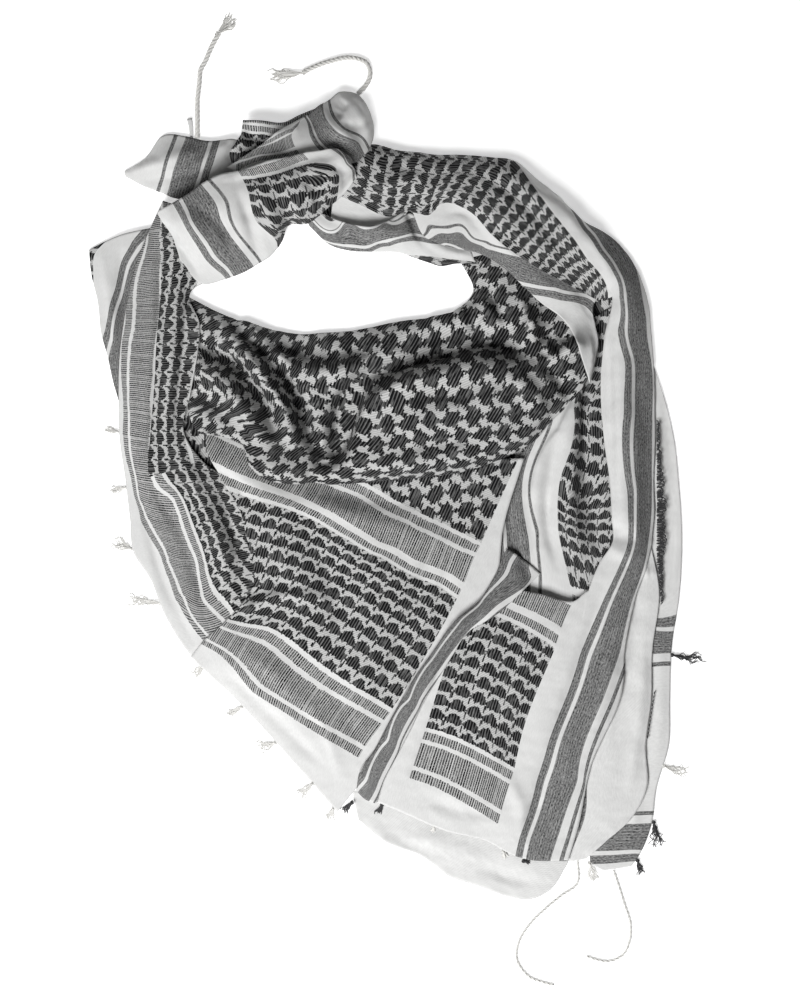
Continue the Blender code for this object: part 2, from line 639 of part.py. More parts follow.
def add_object(name, mesh, material, home):
    """Ends the bmesh, in mm, as an object in metres."""
    bmesh.ops.scale(mesh, verts=mesh.verts, vec=(MM, MM, MM))
    data = bpy.data.meshes.new(name)
    mesh.to_mesh(data)
    mesh.free()
    made = bpy.data.objects.new(name, data)
    data.materials.append(material)
    home.objects.link(made)
    return made


def add_cloth(name, points, material, home):
    made = add_object(name, surface(points), material, home)
    wall = made.modifiers.new("cloth wall", "SOLIDIFY")
    wall.thickness = CLOTH_WALL * MM
    wall.offset = -1
    return made


def seam_ends(points, at_start, at_end):
    """Draws a stretch's end rows in, so that it and the next stretch stay apart."""
    made = points.copy()
    for here, there, wanted in ((0, 1, at_start), (-1, -2, at_end)):
        if wanted:
            gap = made[there] - made[here]
            made[here] += gap / np.linalg.norm(gap, axis=1)[:, None] * SEAM / 2
    return made


def add_core(name, sections, trees, material, home):
    """The hidden layers: sections round the neck opening, up to just under the cloth above."""
    count = CORE_SECTIONS
    closed = list(sections) + [sections[0]]
    ends = np.array([(s.inner_x, s.inner_y, s.outer_x, s.outer_y) for s in closed], float)
    ring = np.linspace(0, len(sections), count + 1)[:-1]
    low = np.floor(ring).astype(int)
    part = (ring - low)[:, None]
    before = ends[(low - 1) % len(sections)]
    a, b = ends[low], ends[low + 1]
    after = ends[(low + 2) % len(sections)]
    spline = (
        2 * a + (b - before) * part + (2 * before - 5 * a + 4 * b - after) * part**2
        + (3 * a - before - 3 * b + after) * part**3
    ) / 2
    shares = np.linspace(0, 1, CORE_STEPS + 1)[None, :, None]
    plan = spline[:, None, :2] * (1 - shares) + spline[:, None, 2:] * shares
    ring_step = np.linalg.norm(np.roll(plan, -1, axis=0) - plan, axis=2)
    mesh = bmesh.new()
    loops = []
    for across, widths in zip(plan, ring_step):
        reach = np.linalg.norm(across[-1] - across[0])
        out = (across[-1] - across[0]) / reach
        tops = []
        for place, width in zip(across, widths):
            top = 60.0
            facet = max(width, reach / CORE_STEPS, 14)
            near = around(facet * 0.35, facet * 0.7, facet * 1.1)
            for tree in trees:
                for dx, dy in near:
                    start = Vector((place[0] + dx, place[1] + dy, -5))
                    hit, normal = tree.ray_cast(start, Vector((0, 0, 1)))[:2]
                    if hit is not None:
                        top = min(top, hit.z - CLOTH_WALL / max(abs(normal.z), 0.5) - CORE_GAP)
            tops.append(top)
        tops = [CORE_LEAST if top > 59 else max(top, CORE_LEAST) for top in tops]
        # Two folded edges show at each side, the upper one set back on the lower.
        path = [(*across[0], 0.0)]
        for back, share in ((-1.5, 0.25), (0.0, 0.5), (-0.6, 0.72)):
            path.append((*(across[0] + out * back), tops[0] * share))
        path += [(*place, top) for place, top in zip(across, tops)]
        for back, share in ((-0.6, 0.72), (0.0, 0.5), (-1.5, 0.25)):
            path.append((*(across[-1] - out * back), tops[-1] * share))
        path.append((*across[-1], 0.0))
        path[0] = (*path[0][:2], 0.0)
        loops.append([mesh.verts.new(p) for p in path])
    for i in range(count):
        here, there = loops[i], loops[(i + 1) % count]
        for k in range(len(here)):
            n = (k + 1) % len(here)
            mesh.faces.new((here[k], there[k], there[n], here[n]))
    bmesh.ops.recalc_face_normals(mesh, faces=mesh.faces)
    return add_object(name, mesh, material, home)


def add_cord(name, route, thickness, material, home):
    """A round cord that lies on the surface along a smooth line through the route."""
    route = np.array([(x, y, thickness / 2 + 0.15) for x, y in route], float)
    spans = np.linalg.norm(np.diff(route, axis=0), axis=1)
    counts = [max(1, round(span / (2.8 * thickness))) for span in spans]
    line = smooth_line(route, counts)
    data = bpy.data.curves.new(name, "CURVE")
    data.dimensions = "3D"
    data.bevel_depth = thickness / 2 * MM
    data.bevel_resolution = 2
    data.use_fill_caps = True
    spline = data.splines.new("POLY")
    spline.points.add(len(line) - 1)
    for point, place in zip(spline.points, line):
        point.co = (*(place * MM), 1)
    data.materials.append(material)
    made = bpy.data.objects.new(name, data)
    home.objects.link(made)
    return made


def add_tassel(name, root, tip, material, home, sides=4, head=HEAD_RADIUS, fan=0.55, lift=0.0, bend=0.0):
    """A knotted head with its strands, which lie on the surface from the root towards the tip."""
    root, tip = np.array(root, float), np.array(tip, float)
    reach = np.linalg.norm(tip - root)
    out = (tip - root) / reach
    side = np.array((-out[1], out[0]))

    def across(face):
        return np.dot(np.array(face.calc_center_median()[:2]), side)

    mesh = bmesh.new()
    bmesh.ops.create_cone(
        mesh, cap_ends=True, segments=sides, radius1=head * 0.7, radius2=head, depth=head * 2.2
    )
    for vertex in mesh.verts:
        x, y, z = vertex.co
        along = z + head * 1.1
        vertex.co = (
            root[0] + out[0] * along + side[0] * x,
            root[1] + out[1] * along + side[1] * x,
            y * 0.8 + head * 0.8 + 0.35 + lift,
        )
    mesh.faces.ensure_lookup_table()
    cap = max(
        (face for face in mesh.faces if len(face.verts) == sides),
        key=lambda face: np.dot(np.array(face.calc_center_median()[:2]), out),
    )
    made = bmesh.ops.poke(mesh, faces=[cap])
    bmesh.ops.inset_individual(mesh, faces=made["faces"], thickness=head * 0.08)
    # A strand from each facet of the cap but the topmost, in their order across so that none cross.
    tips = sorted(made["faces"], key=lambda face: face.calc_center_median().z)[:-1]
    steps = 2
    length = reach - head * 2.2
    for step in range(1, steps + 1):
        tips = bmesh.ops.extrude_discrete_faces(mesh, faces=tips)["faces"]
        tips.sort(key=across)
        for number, face in enumerate(tips):
            centre = face.calc_center_median()
            sway = (number / (len(tips) - 1) - 0.5) * fan * length
            curve = bend * length * (step / steps) ** 2
            ahead = length / steps
            spread = sway / steps + (curve - bend * length * ((step - 1) / steps) ** 2)
            wave = 0.35 * math.sin(number * 2.4 + step * 1.7)
            move = Vector((*(out * ahead + side * (spread + wave)), 0))
            low = STRAND / 2 + 0.25 + lift
            share = 0.55 if step < steps else 0.5
            drop = (low - centre.z) * share
            narrow = 0.9 if step < steps else 0.6
            for vertex in face.verts:
                vertex.co = centre + (vertex.co - centre) * narrow + move + Vector((0, 0, drop))
    bmesh.ops.recalc_face_normals(mesh, faces=mesh.faces)
    return add_object(name, mesh, material, home)


clear_scene()
home = collection("keffiyeh")
white = cloth_material("white cotton", WHITE, 0.85)
grey = cloth_material("striped cotton", GREY, 0.85)
check = cloth_material("patterned cotton", CHECK, 0.85)
black = cloth_material("black cotton", BLACK, 0.8)

# Where each stretch lies, from the lowest up: each is draped over those that it crosses.
low = {}
for name, net in (
    ("bottom_under", BOTTOM_UNDER),
    ("right_under", RIGHT_UNDER),
    ("rear_left", REAR_LEFT),
    ("tail_end", TAIL_END),
    ("tail_tab", TAIL_TAB),
    ("inner_column", INNER_COLUMN),
    ("neck_left", NECK_LEFT),
    ("fray", FRAY),
):
    low[name] = cloth_points(net, CLOTH_FACET)[0]

def laid(net, *under, near=NEAR_CLOTH, gap=LAYER_GAP):
    points, starts = cloth_points(net, CLOTH_FACET)
    return drape(points, [tree_of(layer) for layer in under], CLOTH_WALL + gap, near), starts


knot_tuck = laid(KNOT_TUCK, low["tail_end"])[0]
right_hem = laid(RIGHT_HEM, low["right_under"], low["bottom_under"])[0]
cowl = cloth_points(COWL, CLOTH_FACET)[0]
left_band = laid(LEFT_BAND, low["rear_left"], cowl)[0]
left_flap = laid(LEFT_FLAP, left_band, low["bottom_under"], low["inner_column"])[0]
cowl = laid(COWL, left_flap, low["inner_column"])[0]
right_side, starts = laid(
    RIGHT_SIDE, low["right_under"], right_hem, low["inner_column"], cowl, low["bottom_under"]
)
pleat = laid(PLEAT, left_flap, right_side, low["inner_column"], near=CLOSE_CLOTH)[0]
crossed = (low["tail_end"], knot_tuck, right_side)
wrap_top = laid(WRAP_TOP, *crossed, near=CLOSE_CLOTH, gap=TIGHT_GAP)[0]
crossed = (wrap_top, low["tail_end"], left_band, right_side, low["neck_left"], knot_tuck)
wrap_front = laid(WRAP_FRONT, *crossed, near=CLOSE_CLOTH)[0]

# The right side is one cloth in three stretches, which part at the pocket and at the panel's top.
pocket, panel = starts[POCKET_ROW], starts[PANEL_ROW]
outer = np.isnan(right_side[(pocket + panel) // 2, :, 0]).argmin()
back_loop = seam_ends(right_side[: pocket + 1], False, True)
right_border = seam_ends(right_side[pocket : panel + 1, outer:], True, True)
right_flap = seam_ends(right_side[panel:], True, False)

stretches = {
    "bottom_under": (low["bottom_under"], white),
    "right_under": (low["right_under"], white),
    "right_hem": (right_hem, white),
    "fray": (low["fray"], black),
    "rear_left": (low["rear_left"], grey),
    "tail_end": (low["tail_end"], grey),
    "tail_tab": (low["tail_tab"], white),
    "knot_tuck": (knot_tuck, grey),
    "wrap_top": (wrap_top, grey),
    "wrap_front": (wrap_front, grey),
    "neck_left": (low["neck_left"], grey),
    "back_loop": (back_loop, check),
    "right_border": (right_border, grey),
    "right_flap": (right_flap, check),
    "inner_column": (low["inner_column"], check),
    "left_band": (left_band, grey),
    "left_flap": (left_flap, check),
    "pleat": (pleat, grey),
    "cowl": (cowl, check),
}
for name, (points, material) in stretches.items():
    add_cloth(name, points, material, home)
trees = [tree_of(points) for points, _ in stretches.values()]
add_core("hidden_layers", CORE, trees, check, home)

for name, route in ROUTES.items():
    thickness = THICK_CORD if name in ("cord_a", "cord_b") else THIN_CORD
    add_cord(name, route, thickness, white, home)
for name, root, tip, fan in TUFTS:
    add_tassel(name, root, tip, white, home, sides=6, head=2.6, fan=fan)
for number, tassel in enumerate(TASSELS, 1):
    shade = black if tassel.shade == "black" else white
    add_tassel(
        f"tassel_{number:02d}", tassel.root, tassel.tip, shade, home,
        fan=tassel.fan, lift=tassel.lift, bend=tassel.bend,
    )
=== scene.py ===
"""Keffiyeh headscarf of woven cotton, folded on the diagonal, wound once, knotted and laid flat.

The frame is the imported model: metres, with the table at z = 0. Tables of places are in millimetres,
across and up from the middle of the scarf. The cloth's own coordinates are in millimetres too:
u from the selvedge that the stripes follow, and v from the fringed hem, along the pattern threads.
"""

import math
from collections import namedtuple

import bmesh
import bpy
import numpy as np
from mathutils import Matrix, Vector, noise
from mathutils.bvhtree import BVHTree


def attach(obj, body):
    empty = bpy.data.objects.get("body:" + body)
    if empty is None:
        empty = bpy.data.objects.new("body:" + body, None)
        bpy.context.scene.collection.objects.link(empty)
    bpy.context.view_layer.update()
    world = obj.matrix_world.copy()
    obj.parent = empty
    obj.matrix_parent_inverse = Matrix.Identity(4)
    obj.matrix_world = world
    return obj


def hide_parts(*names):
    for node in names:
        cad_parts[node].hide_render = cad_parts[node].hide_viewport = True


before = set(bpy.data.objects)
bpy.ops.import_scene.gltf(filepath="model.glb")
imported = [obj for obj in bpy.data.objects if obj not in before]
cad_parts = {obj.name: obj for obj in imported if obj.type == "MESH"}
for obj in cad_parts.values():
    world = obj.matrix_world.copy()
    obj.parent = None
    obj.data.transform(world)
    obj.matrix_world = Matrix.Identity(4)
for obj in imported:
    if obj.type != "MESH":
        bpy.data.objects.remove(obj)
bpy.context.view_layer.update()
MM = 0.001


# The camera. It looks straight down on the table from 5.5 m with a long lens, as for a catalogue
# page, so that layers near the lens look no larger than those on the table.
def put(name, data):
    """A new object in the scene, at the origin."""
    made = bpy.data.objects.new(name, data)
    bpy.context.scene.collection.objects.link(made)
    return made


lens = bpy.data.cameras.new("camera over the table")
lens.lens = 220
lens.clip_end = 50
camera = put("camera over the table", lens)
camera.location = (0.00345, -0.0036, 5.512)
bpy.context.scene.camera = camera


# The cords. Two thick ones are plied from cotton strands that are left over at the scarf's corners,
# and two thin ones are loose warp ends. They lie on the table and end in a knot or a bare end.
def linear(code):
    """An sRGB hex colour as the linear colour that a shader takes."""
    values = [int(code[i : i + 2], 16) / 255 for i in (0, 2, 4)]
    return (*(c / 12.92 if c <= 0.04045 else ((c + 0.055) / 1.055) ** 2.4 for c in values), 1.0)


def add(tree, kind, inputs=None, **settings):
    """Adds a node with its settings, and with its inputs as values, sockets or nodes."""
    node = tree.nodes.new(kind)
    for name, value in settings.items():
        setattr(node, name, value)
    for name, value in (inputs or {}).items():
        if isinstance(value, bpy.types.Node):
            value = value.outputs[0]
        if isinstance(value, bpy.types.NodeSocket):
            tree.links.new(value, node.inputs[name])
        else:
            node.inputs[name].default_value = value
    return node


def new_material(name, looks):
    """A material whose shader has these looks, with its node tree and its shader."""
    made = bpy.data.materials.new(name)
    made.use_nodes = True
    shader = made.node_tree.nodes["Principled BSDF"]
    for key, value in looks.items():
        shader.inputs[key].default_value = value
    return made, made.node_tree, shader


def smooth_line(points, counts):
    """Points along a smooth line through the given ones, counts[i] steps from point i to the next."""
    points = np.asarray(points, float)
    if len(points) == 2:
        steps = np.linspace(0, 1, counts[0] + 1)[:, None]
        return points[0] + (points[1] - points[0]) * steps
    span = np.maximum(np.linalg.norm(np.diff(points, axis=0), axis=1), 1e-6)
    slope = np.diff(points, axis=0) / span[:, None]
    lean = np.empty_like(points)
    before, after = span[:-1, None], span[1:, None]
    lean[1:-1] = (slope[:-1] * after + slope[1:] * before) / (before + after)
    lean[0], lean[-1] = slope[0], slope[-1]
    made = [points[:1]]
    for i, count in enumerate(counts):
        t = np.linspace(0, 1, count + 1)[1:, None]
        a, b = points[i], points[i + 1]
        p, q = lean[i] * span[i], lean[i + 1] * span[i]
        made.append(
            a * (1 + 2 * t) * (1 - t) ** 2
            + p * t * (1 - t) ** 2
            + b * t * t * (3 - 2 * t)
            + q * t * t * (t - 1)
        )
    return np.concatenate(made)


# Cotton yarn, plied and washed: matt, a little fuzzy, and a shade warmer than the cloth.
cotton_yarn, yarn, yarn_shader = new_material(
    "cotton yarn, plied", {"Roughness": 0.92, "Sheen Weight": 0.2}
)
yarn_place = add(yarn, "ShaderNodeTexCoord")
# Fibres of the yarn, drawn 0.8 mm across: the real ones are too fine to show.
fibres = add(
    yarn,
    "ShaderNodeTexNoise",
    {"Vector": yarn_place.outputs["Object"], "Scale": 1 / 0.0008, "Detail": 3.0},
)
shade = add(
    yarn,
    "ShaderNodeMix",
    {0: fibres, 6: linear("BDBCB8"), 7: linear("E6E5E2")},
    data_type="RGBA",
)
yarn.links.new(shade.outputs[2], yarn_shader.inputs["Base Color"])
fuzz = add(yarn, "ShaderNodeBump", {"Height": fibres, "Strength": 0.35, "Distance": 0.4 * MM})
yarn.links.new(fuzz.outputs[0], yarn_shader.inputs["Normal"])


def threads(name, lines, thickness, material, taper):
    """One piece made of many round threads, each along its own line of places in mm.

    taper is how thick a thread is at its end, as a share of its thickness at the start.
    """
    data = bpy.data.curves.new(name, "CURVE")
    data.dimensions = "3D"
    data.bevel_depth = MM
    data.bevel_resolution = 1
    data.use_fill_caps = True
    for line in lines:
        line = np.asarray(line, float)
        spline = data.splines.new("POLY")
        spline.points.add(len(line) - 1)
        for number, (point, place) in enumerate(zip(spline.points, line)):
            share = number / (len(line) - 1)
            point.co = (*(place * MM), 1)
            point.radius = thickness / 2 * (1 - (1 - taper) * share**2)
    drawn = put(name, data)
    graph = bpy.context.evaluated_depsgraph_get()
    mesh = bpy.data.meshes.new_from_object(drawn.evaluated_get(graph))
    bpy.data.objects.remove(drawn)
    bpy.data.curves.remove(data)
    mesh.name = name
    mesh.materials.clear()
    mesh.materials.append(material)
    for polygon in mesh.polygons:
        polygon.use_smooth = True
    return put(name, mesh)


def lengths_along(line):
    """How far along the line each of its points is."""
    steps = np.linalg.norm(np.diff(line, axis=0), axis=1)
    return np.concatenate([[0], np.cumsum(steps)])


def plies(line, count, thickness, pitch):
    """The lines of the plies that twist round a cord's own line, each half as thick as the cord."""
    along = lengths_along(line)
    ahead = np.gradient(line, axis=0)
    ahead /= np.linalg.norm(ahead, axis=1)[:, None]
    side = np.stack([-ahead[:, 1], ahead[:, 0], np.zeros(len(line))], axis=1)
    up = np.cross(ahead, side)
    made = []
    for number in range(count):
        turn = along / pitch * 2 * math.pi + number * 2 * math.pi / count
        out = side * np.cos(turn)[:, None] + up * np.sin(turn)[:, None]
        made.append(line + out * thickness * 0.24)
    return made


noise.seed_set(1)  # noise_vector takes its offsets from the clock otherwise


def tuft(root, tip, fan, count, thickness, lift, curl):
    """Lines of loose strands from a knot: they fan out, wave a little and lie down on the way."""
    root, tip = np.array(root, float), np.array(tip, float)
    reach = np.linalg.norm(tip - root)
    out = (tip - root) / reach
    side = np.array((-out[1], out[0]))
    lines = []
    for number in range(count):
        seed = Vector((root[0] * 0.37 + number * 5.1, root[1] * 0.53, number * 2.7))
        loose = noise.noise_vector(seed)
        spread = (number / (count - 1) - 0.5) * fan + loose.x * fan * 0.5
        long = reach * (0.82 + 0.3 * loose.y)
        line = []
        for share in np.linspace(0, 1, 9):
            wave = noise.noise_vector(seed + Vector((share * 2.2 * curl, 0, 9.0)))
            place = root + out * long * share + side * (
                math.sin(share * 1.5) * spread * long * 0.7 + wave.x * reach * 0.16 * curl * share
            )
            low = thickness / 2 + 0.1 + abs(loose.z) * 1.2
            high = 2.4 + lift + loose.z * 1.2
            height = max(low, high * (1 - share) ** 1.4 + low + wave.y * 1.2 * share)
            line.append((place[0], place[1], height))
        lines.append(line)
    return lines


def knot(place, size, turn):
    """The line of a small overhand knot round a place: one and a half turns that pass each other."""
    line = []
    for step in range(25):
        a = step / 24 * 2 * math.pi * 1.5
        r = size * (0.62 + 0.38 * math.cos(a * 1.5))
        x, y, z = r * math.cos(a) * 1.15, r * math.sin(a) * 0.8, size * 0.45 * math.sin(a * 3)
        line.append((
            place[0] + x * math.cos(turn) - y * math.sin(turn),
            place[1] + x * math.sin(turn) + y * math.cos(turn),
            place[2] + z,
        ))
    return line


Cord = namedtuple("Cord", "name thickness plies pitch far_end route")
CORDS = [
    Cord("cord_a", 4.8, 3, 13, "knot", [
        (-179.3, 323), (-179.3, 338.4), (-179.3, 356.4), (-177.5, 373.5), (-176.6, 383.4),
        (-172.1, 391.5), (-168.5, 400.5), (-164, 409.5), (-160.4, 415.8),
    ]),
    Cord("cord_b", 4.8, 3, 12, "knot", [
        (-34.4, 362.8), (-27.6, 369.9), (-23.6, 378.9), (-27.2, 390.6), (-35.3, 394.2),
        (-44.3, 395.1), (-57.8, 392.4), (-71.3, 387.9), (-83, 382.5),
    ]),
    Cord("cord_c", 2.6, 2, 9, "bare", [
        (163.6, -327.7), (162.7, -350.1), (149.2, -360), (133.9, -372.6), (120.4, -386.1),
        (110.5, -402.3), (108.7, -417.6), (113.2, -426.6), (120.4, -433.8), (132.1, -438.3),
        (142, -441),
    ]),
    Cord("cord_d", 2.6, 2, 9, "bare", [
        (196, -337.4), (200.5, -351), (205.9, -368.1), (211.3, -386.1), (210.4, -401.4),
        (205, -413.1), (192.4, -419.4), (178.9, -417.6), (171.7, -414.9),
    ]),
]
# The frayed ends of the knotted cords: node, place of the knot, tip of the strands, and their fan.
TUFTS = {
    "cord_a": ("tuft_a", (-160.4, 416.4), (-144.8, 433), 0.7),
    "cord_b": ("tuft_b", (-83.3, 382), (-116.8, 377), 0.35),
}
FACET = 1.4  # along a cord
for cord in CORDS:
    route = np.array([(x, y, cord.thickness / 2 + 0.15) for x, y in cord.route])
    counts = [max(4, round(span / FACET)) for span in np.linalg.norm(np.diff(route, axis=0), axis=1)]
    line = smooth_line(route, counts)
    strands = plies(line, cord.plies, cord.thickness, cord.pitch)
    piece = threads(f"{cord.name}_plied", strands, cord.thickness * 0.54, cotton_yarn, taper=1.0)
    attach(piece, "root")
    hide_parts(cord.name)
    if cord.name in TUFTS:
        node, root, tip, fan = TUFTS[cord.name]
        turn = math.atan2(tip[1] - root[1], tip[0] - root[0])
        lines = tuft(root, tip, fan, count=26, thickness=0.75, lift=1.0, curl=1.6)
        lines += [knot((*root, 3.0), 2.9, turn), knot((*root, 3.4), 2.3, turn + 1.2)]
        end = threads(f"{node}_frayed", lines, 0.95, cotton_yarn, taper=0.7)
        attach(end, "root")
        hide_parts(node)


# The keffiyeh's cloth: a plain white cotton weave with black weft floats that make its check, and two
# groups of grey stripes along the selvedge and across each end. It has been washed and folded, so it
# is matt and creased. Everything that draws the cloth and lays it down starts here.
Net = namedtuple("Net", "columns rows")  # rows of places (x, y, height), each across the stretch
# A pin is (x, y, u, v): a place on the table, and the cloth's own place there.
Crease = namedtuple("Crease", "depth width lean route")  # a trough where depth is below 0
Fold = namedtuple("Fold", "pins holds")  # the pins of a part that is folded under, and its test
GAP = None  # a place that the cloth doesn't reach
CLOTH = 1.0  # thickness of the shell: one layer with its nap
CLEAR = 0.45  # air between two layers
GRID = 2.4  # side of a facet
THREADS = 1.25  # between the black threads that are drawn
FLOATS = 15.6  # between neighbouring floats of a row, in both checks
LARGE_ROWS = 21.8  # between the rows of the large check that line up
SMALL_ROWS = 13.2  # between the rows of the small check

keffiyeh_cloth, cloth, cloth_shader = new_material(
    "cotton weave with black weft floats",
    {"Roughness": 0.9, "Sheen Weight": 0.05, "Sheen Roughness": 0.5, "Specular IOR Level": 0.12},
)


def float_distance(place, cell, offset, lean, size):
    """How far a place is from the middle of its cell's float, where 1 is the float's rim.

    cell is the cells' size, (wide, tall), and offset moves them by a share of it.
    """
    wide, tall = cell
    at = add(
        cloth,
        "ShaderNodeVectorMath",
        {0: place, 1: (1 / wide, 1 / tall, 0), 2: (*offset, 0)},
        operation="MULTIPLY_ADD",
    )
    at = add(cloth, "ShaderNodeVectorMath", {0: at}, operation="FRACTION")
    at = add(
        cloth,
        "ShaderNodeVectorMath",
        {0: at, 1: (wide, tall, 0), 2: (-wide / 2, -tall / 2, 0)},
        operation="MULTIPLY_ADD",
    )
    at = add(
        cloth,
        "ShaderNodeMapping",
        {"Vector": at, "Rotation": (0, 0, lean), "Scale": (*size, 1)},
        vector_type="TEXTURE",
    )
    return add(cloth, "ShaderNodeVectorMath", {0: at}, operation="LENGTH").outputs["Value"]


def leaning_lines(place, across, along):
    """How far a place is from the nearest of leaning lines, where 0.5 is halfway between two.

    across and along are the distances between two lines in u and in v. They lean the other way
    where along is below 0.
    """
    at = add(
        cloth,
        "ShaderNodeVectorMath",
        {0: place, 1: (1 / across, 1 / along, 0)},
        operation="DOT_PRODUCT",
    )
    return add(cloth, "ShaderNodeMath", {0: at.outputs["Value"], 1: 0.5}, operation="PINGPONG")


def share_of(coordinate, pitch):
    """How far into its own step of a pitch a coordinate is, from 0 to 1."""
    at = add(cloth, "ShaderNodeMath", {0: coordinate, 1: 1 / pitch}, operation="MULTIPLY")
    return add(cloth, "ShaderNodeMath", {0: at}, operation="FRACT")


place = add(cloth, "ShaderNodeUVMap", uv_map="cloth")
place = add(cloth, "ShaderNodeVectorMath", {0: place, 3: 1000.0}, operation="SCALE")
apart = add(cloth, "ShaderNodeSeparateXYZ", {0: place})
u, v = apart.outputs[0], apart.outputs[1]

# The black weft shows as threads side by side. They are drawn coarser than the real ones, so that the
# ragged ends of the floats show: each thread is shifted by its own amount.
thread = add(cloth, "ShaderNodeMath", {0: u, 1: THREADS}, operation="SNAP")
thread = add(cloth, "ShaderNodeMath", {0: thread, 1: 0.62}, operation="ADD")
slow = add(cloth, "ShaderNodeMath", {0: v, 1: 0.1}, operation="MULTIPLY")
ragged = add(cloth, "ShaderNodeCombineXYZ", {0: thread, 1: slow})
ragged = add(
    cloth,
    "ShaderNodeTexNoise",
    {"Vector": ragged, "Scale": 1.27, "Detail": 1.0},
    noise_dimensions="2D",
)
shift = add(cloth, "ShaderNodeMath", {0: ragged, 1: 11.0, 2: -5.5}, operation="MULTIPLY_ADD")
moved = add(cloth, "ShaderNodeMath", {0: v, 1: shift}, operation="ADD")
float_place = add(cloth, "ShaderNodeCombineXYZ", {0: thread, 1: moved})
# The small check's rows are steadier: they take half of the shift.
calm = add(cloth, "ShaderNodeMath", {0: shift, 1: 0.5, 2: v}, operation="MULTIPLY_ADD")

# The large check: leaning floats, every other column half a step on, with thin necks between
# neighbours that leave white four-pointed stars.
LARGE_CELL = (2 * FLOATS, LARGE_ROWS)
blobs = [
    float_distance(float_place, LARGE_CELL, (half, half), lean, (6.2, 9.6))
    for half, lean in ((0.5, 0.33), (0.0, -0.33))
]
blob = add(cloth, "ShaderNodeMath", {0: blobs[0], 1: blobs[1]}, operation="MINIMUM")
necks = [leaning_lines(float_place, 2 * FLOATS, sign * LARGE_ROWS) for sign in (-1, 1)]
neck = add(cloth, "ShaderNodeMath", {0: necks[0], 1: necks[1]}, operation="MINIMUM")
neck = add(cloth, "ShaderNodeMath", {0: neck, 1: 0.11}, operation="LESS_THAN")
blob = add(cloth, "ShaderNodeMath", {0: blob, 1: 1.0}, operation="LESS_THAN")
large_check = add(cloth, "ShaderNodeMath", {0: blob, 1: neck}, operation="MAXIMUM")

# The small check of the borders: rows of round floats, joined at their sides into a scalloped band,
# with a pointed tick hanging from each joint towards the next row. The band reaches up and down from
# its own line by most at a float's middle and by least at a joint.
MOST_REACH, LEAST_REACH = 5.0, 0.8
swing = add(cloth, "ShaderNodeMath", {0: thread, 1: 2 * math.pi / FLOATS}, operation="MULTIPLY")
swing = add(cloth, "ShaderNodeMath", {0: swing}, operation="COSINE")
row = add(cloth, "ShaderNodeMath", {0: swing, 1: -0.9, 2: calm}, operation="MULTIPLY_ADD")
for operation, value in (("ADD", 1.5), ("MULTIPLY", 1 / SMALL_ROWS), ("PINGPONG", 0.5)):
    row = add(cloth, "ShaderNodeMath", {0: row, 1: value}, operation=operation)
reach = thread
for operation, value in (("PINGPONG", FLOATS / 2), ("MULTIPLY", 2 / FLOATS), ("POWER", 2.6)):
    reach = add(cloth, "ShaderNodeMath", {0: reach, 1: value}, operation=operation)
reach = add(
    cloth,
    "ShaderNodeMath",
    {0: reach, 1: (LEAST_REACH - MOST_REACH) / SMALL_ROWS, 2: MOST_REACH / SMALL_ROWS},
    operation="MULTIPLY_ADD",
)
band = add(cloth, "ShaderNodeMath", {0: row, 1: reach}, operation="LESS_THAN")
tick_place = add(cloth, "ShaderNodeCombineXYZ", {0: thread, 1: calm})
tick = float_distance(tick_place, (FLOATS, SMALL_ROWS), (0.0, 0.06), 0.15, (1.0, 3.6))
tick = add(cloth, "ShaderNodeMath", {0: tick, 1: 1.0}, operation="LESS_THAN")
small_check = add(cloth, "ShaderNodeMath", {0: band, 1: tick}, operation="MAXIMUM")

# The lined bands: single black threads 2.1 mm apart along v, dotted by the white weave over them, and
# darker or lighter in groups as the yarn varies.
lined = share_of(u, 2.1)
lined = add(cloth, "ShaderNodeMath", {0: lined, 1: 0.66}, operation="LESS_THAN")
dots = share_of(moved, 1.9)
dots = add(cloth, "ShaderNodeMath", {0: dots, 1: 0.3}, operation="GREATER_THAN")
dots = add(cloth, "ShaderNodeMath", {0: dots, 1: 0.4, 2: 0.55}, operation="MULTIPLY_ADD")
groups = add(cloth, "ShaderNodeCombineXYZ", {0: thread, 1: 0.0, 2: 3.0})
groups = add(cloth, "ShaderNodeTexNoise", {"Vector": groups, "Scale": 0.35, "Detail": 3.0})
groups = add(
    cloth,
    "ShaderNodeMapRange",
    {"Value": groups.outputs[0], "From Min": 0.34, "From Max": 0.48, "To Min": 0.55, "To Max": 1.0},
)
lined = add(cloth, "ShaderNodeMath", {0: lined, 1: dots}, operation="MULTIPLY")
lined = add(cloth, "ShaderNodeMath", {0: lined, 1: 0.82, 2: 0.27}, operation="MULTIPLY_ADD")
lined = add(cloth, "ShaderNodeMath", {0: lined, 1: groups}, operation="MULTIPLY")

# The grey stripes: black warp under white weft gives a mottled grey with slubs along the stripe.
mottle = add(cloth, "ShaderNodeVectorMath", {0: place, 1: (0.9, 0.42, 0)}, operation="MULTIPLY")
mottle = add(
    cloth,
    "ShaderNodeTexNoise",
    {"Vector": mottle, "Scale": 1.0, "Detail": 2.0, "Roughness": 0.7},
    noise_dimensions="2D",
)
striped = add(
    cloth, "ShaderNodeMath", {0: mottle, 1: 0.95, 2: 0.32}, operation="MULTIPLY_ADD", use_clamp=True
)

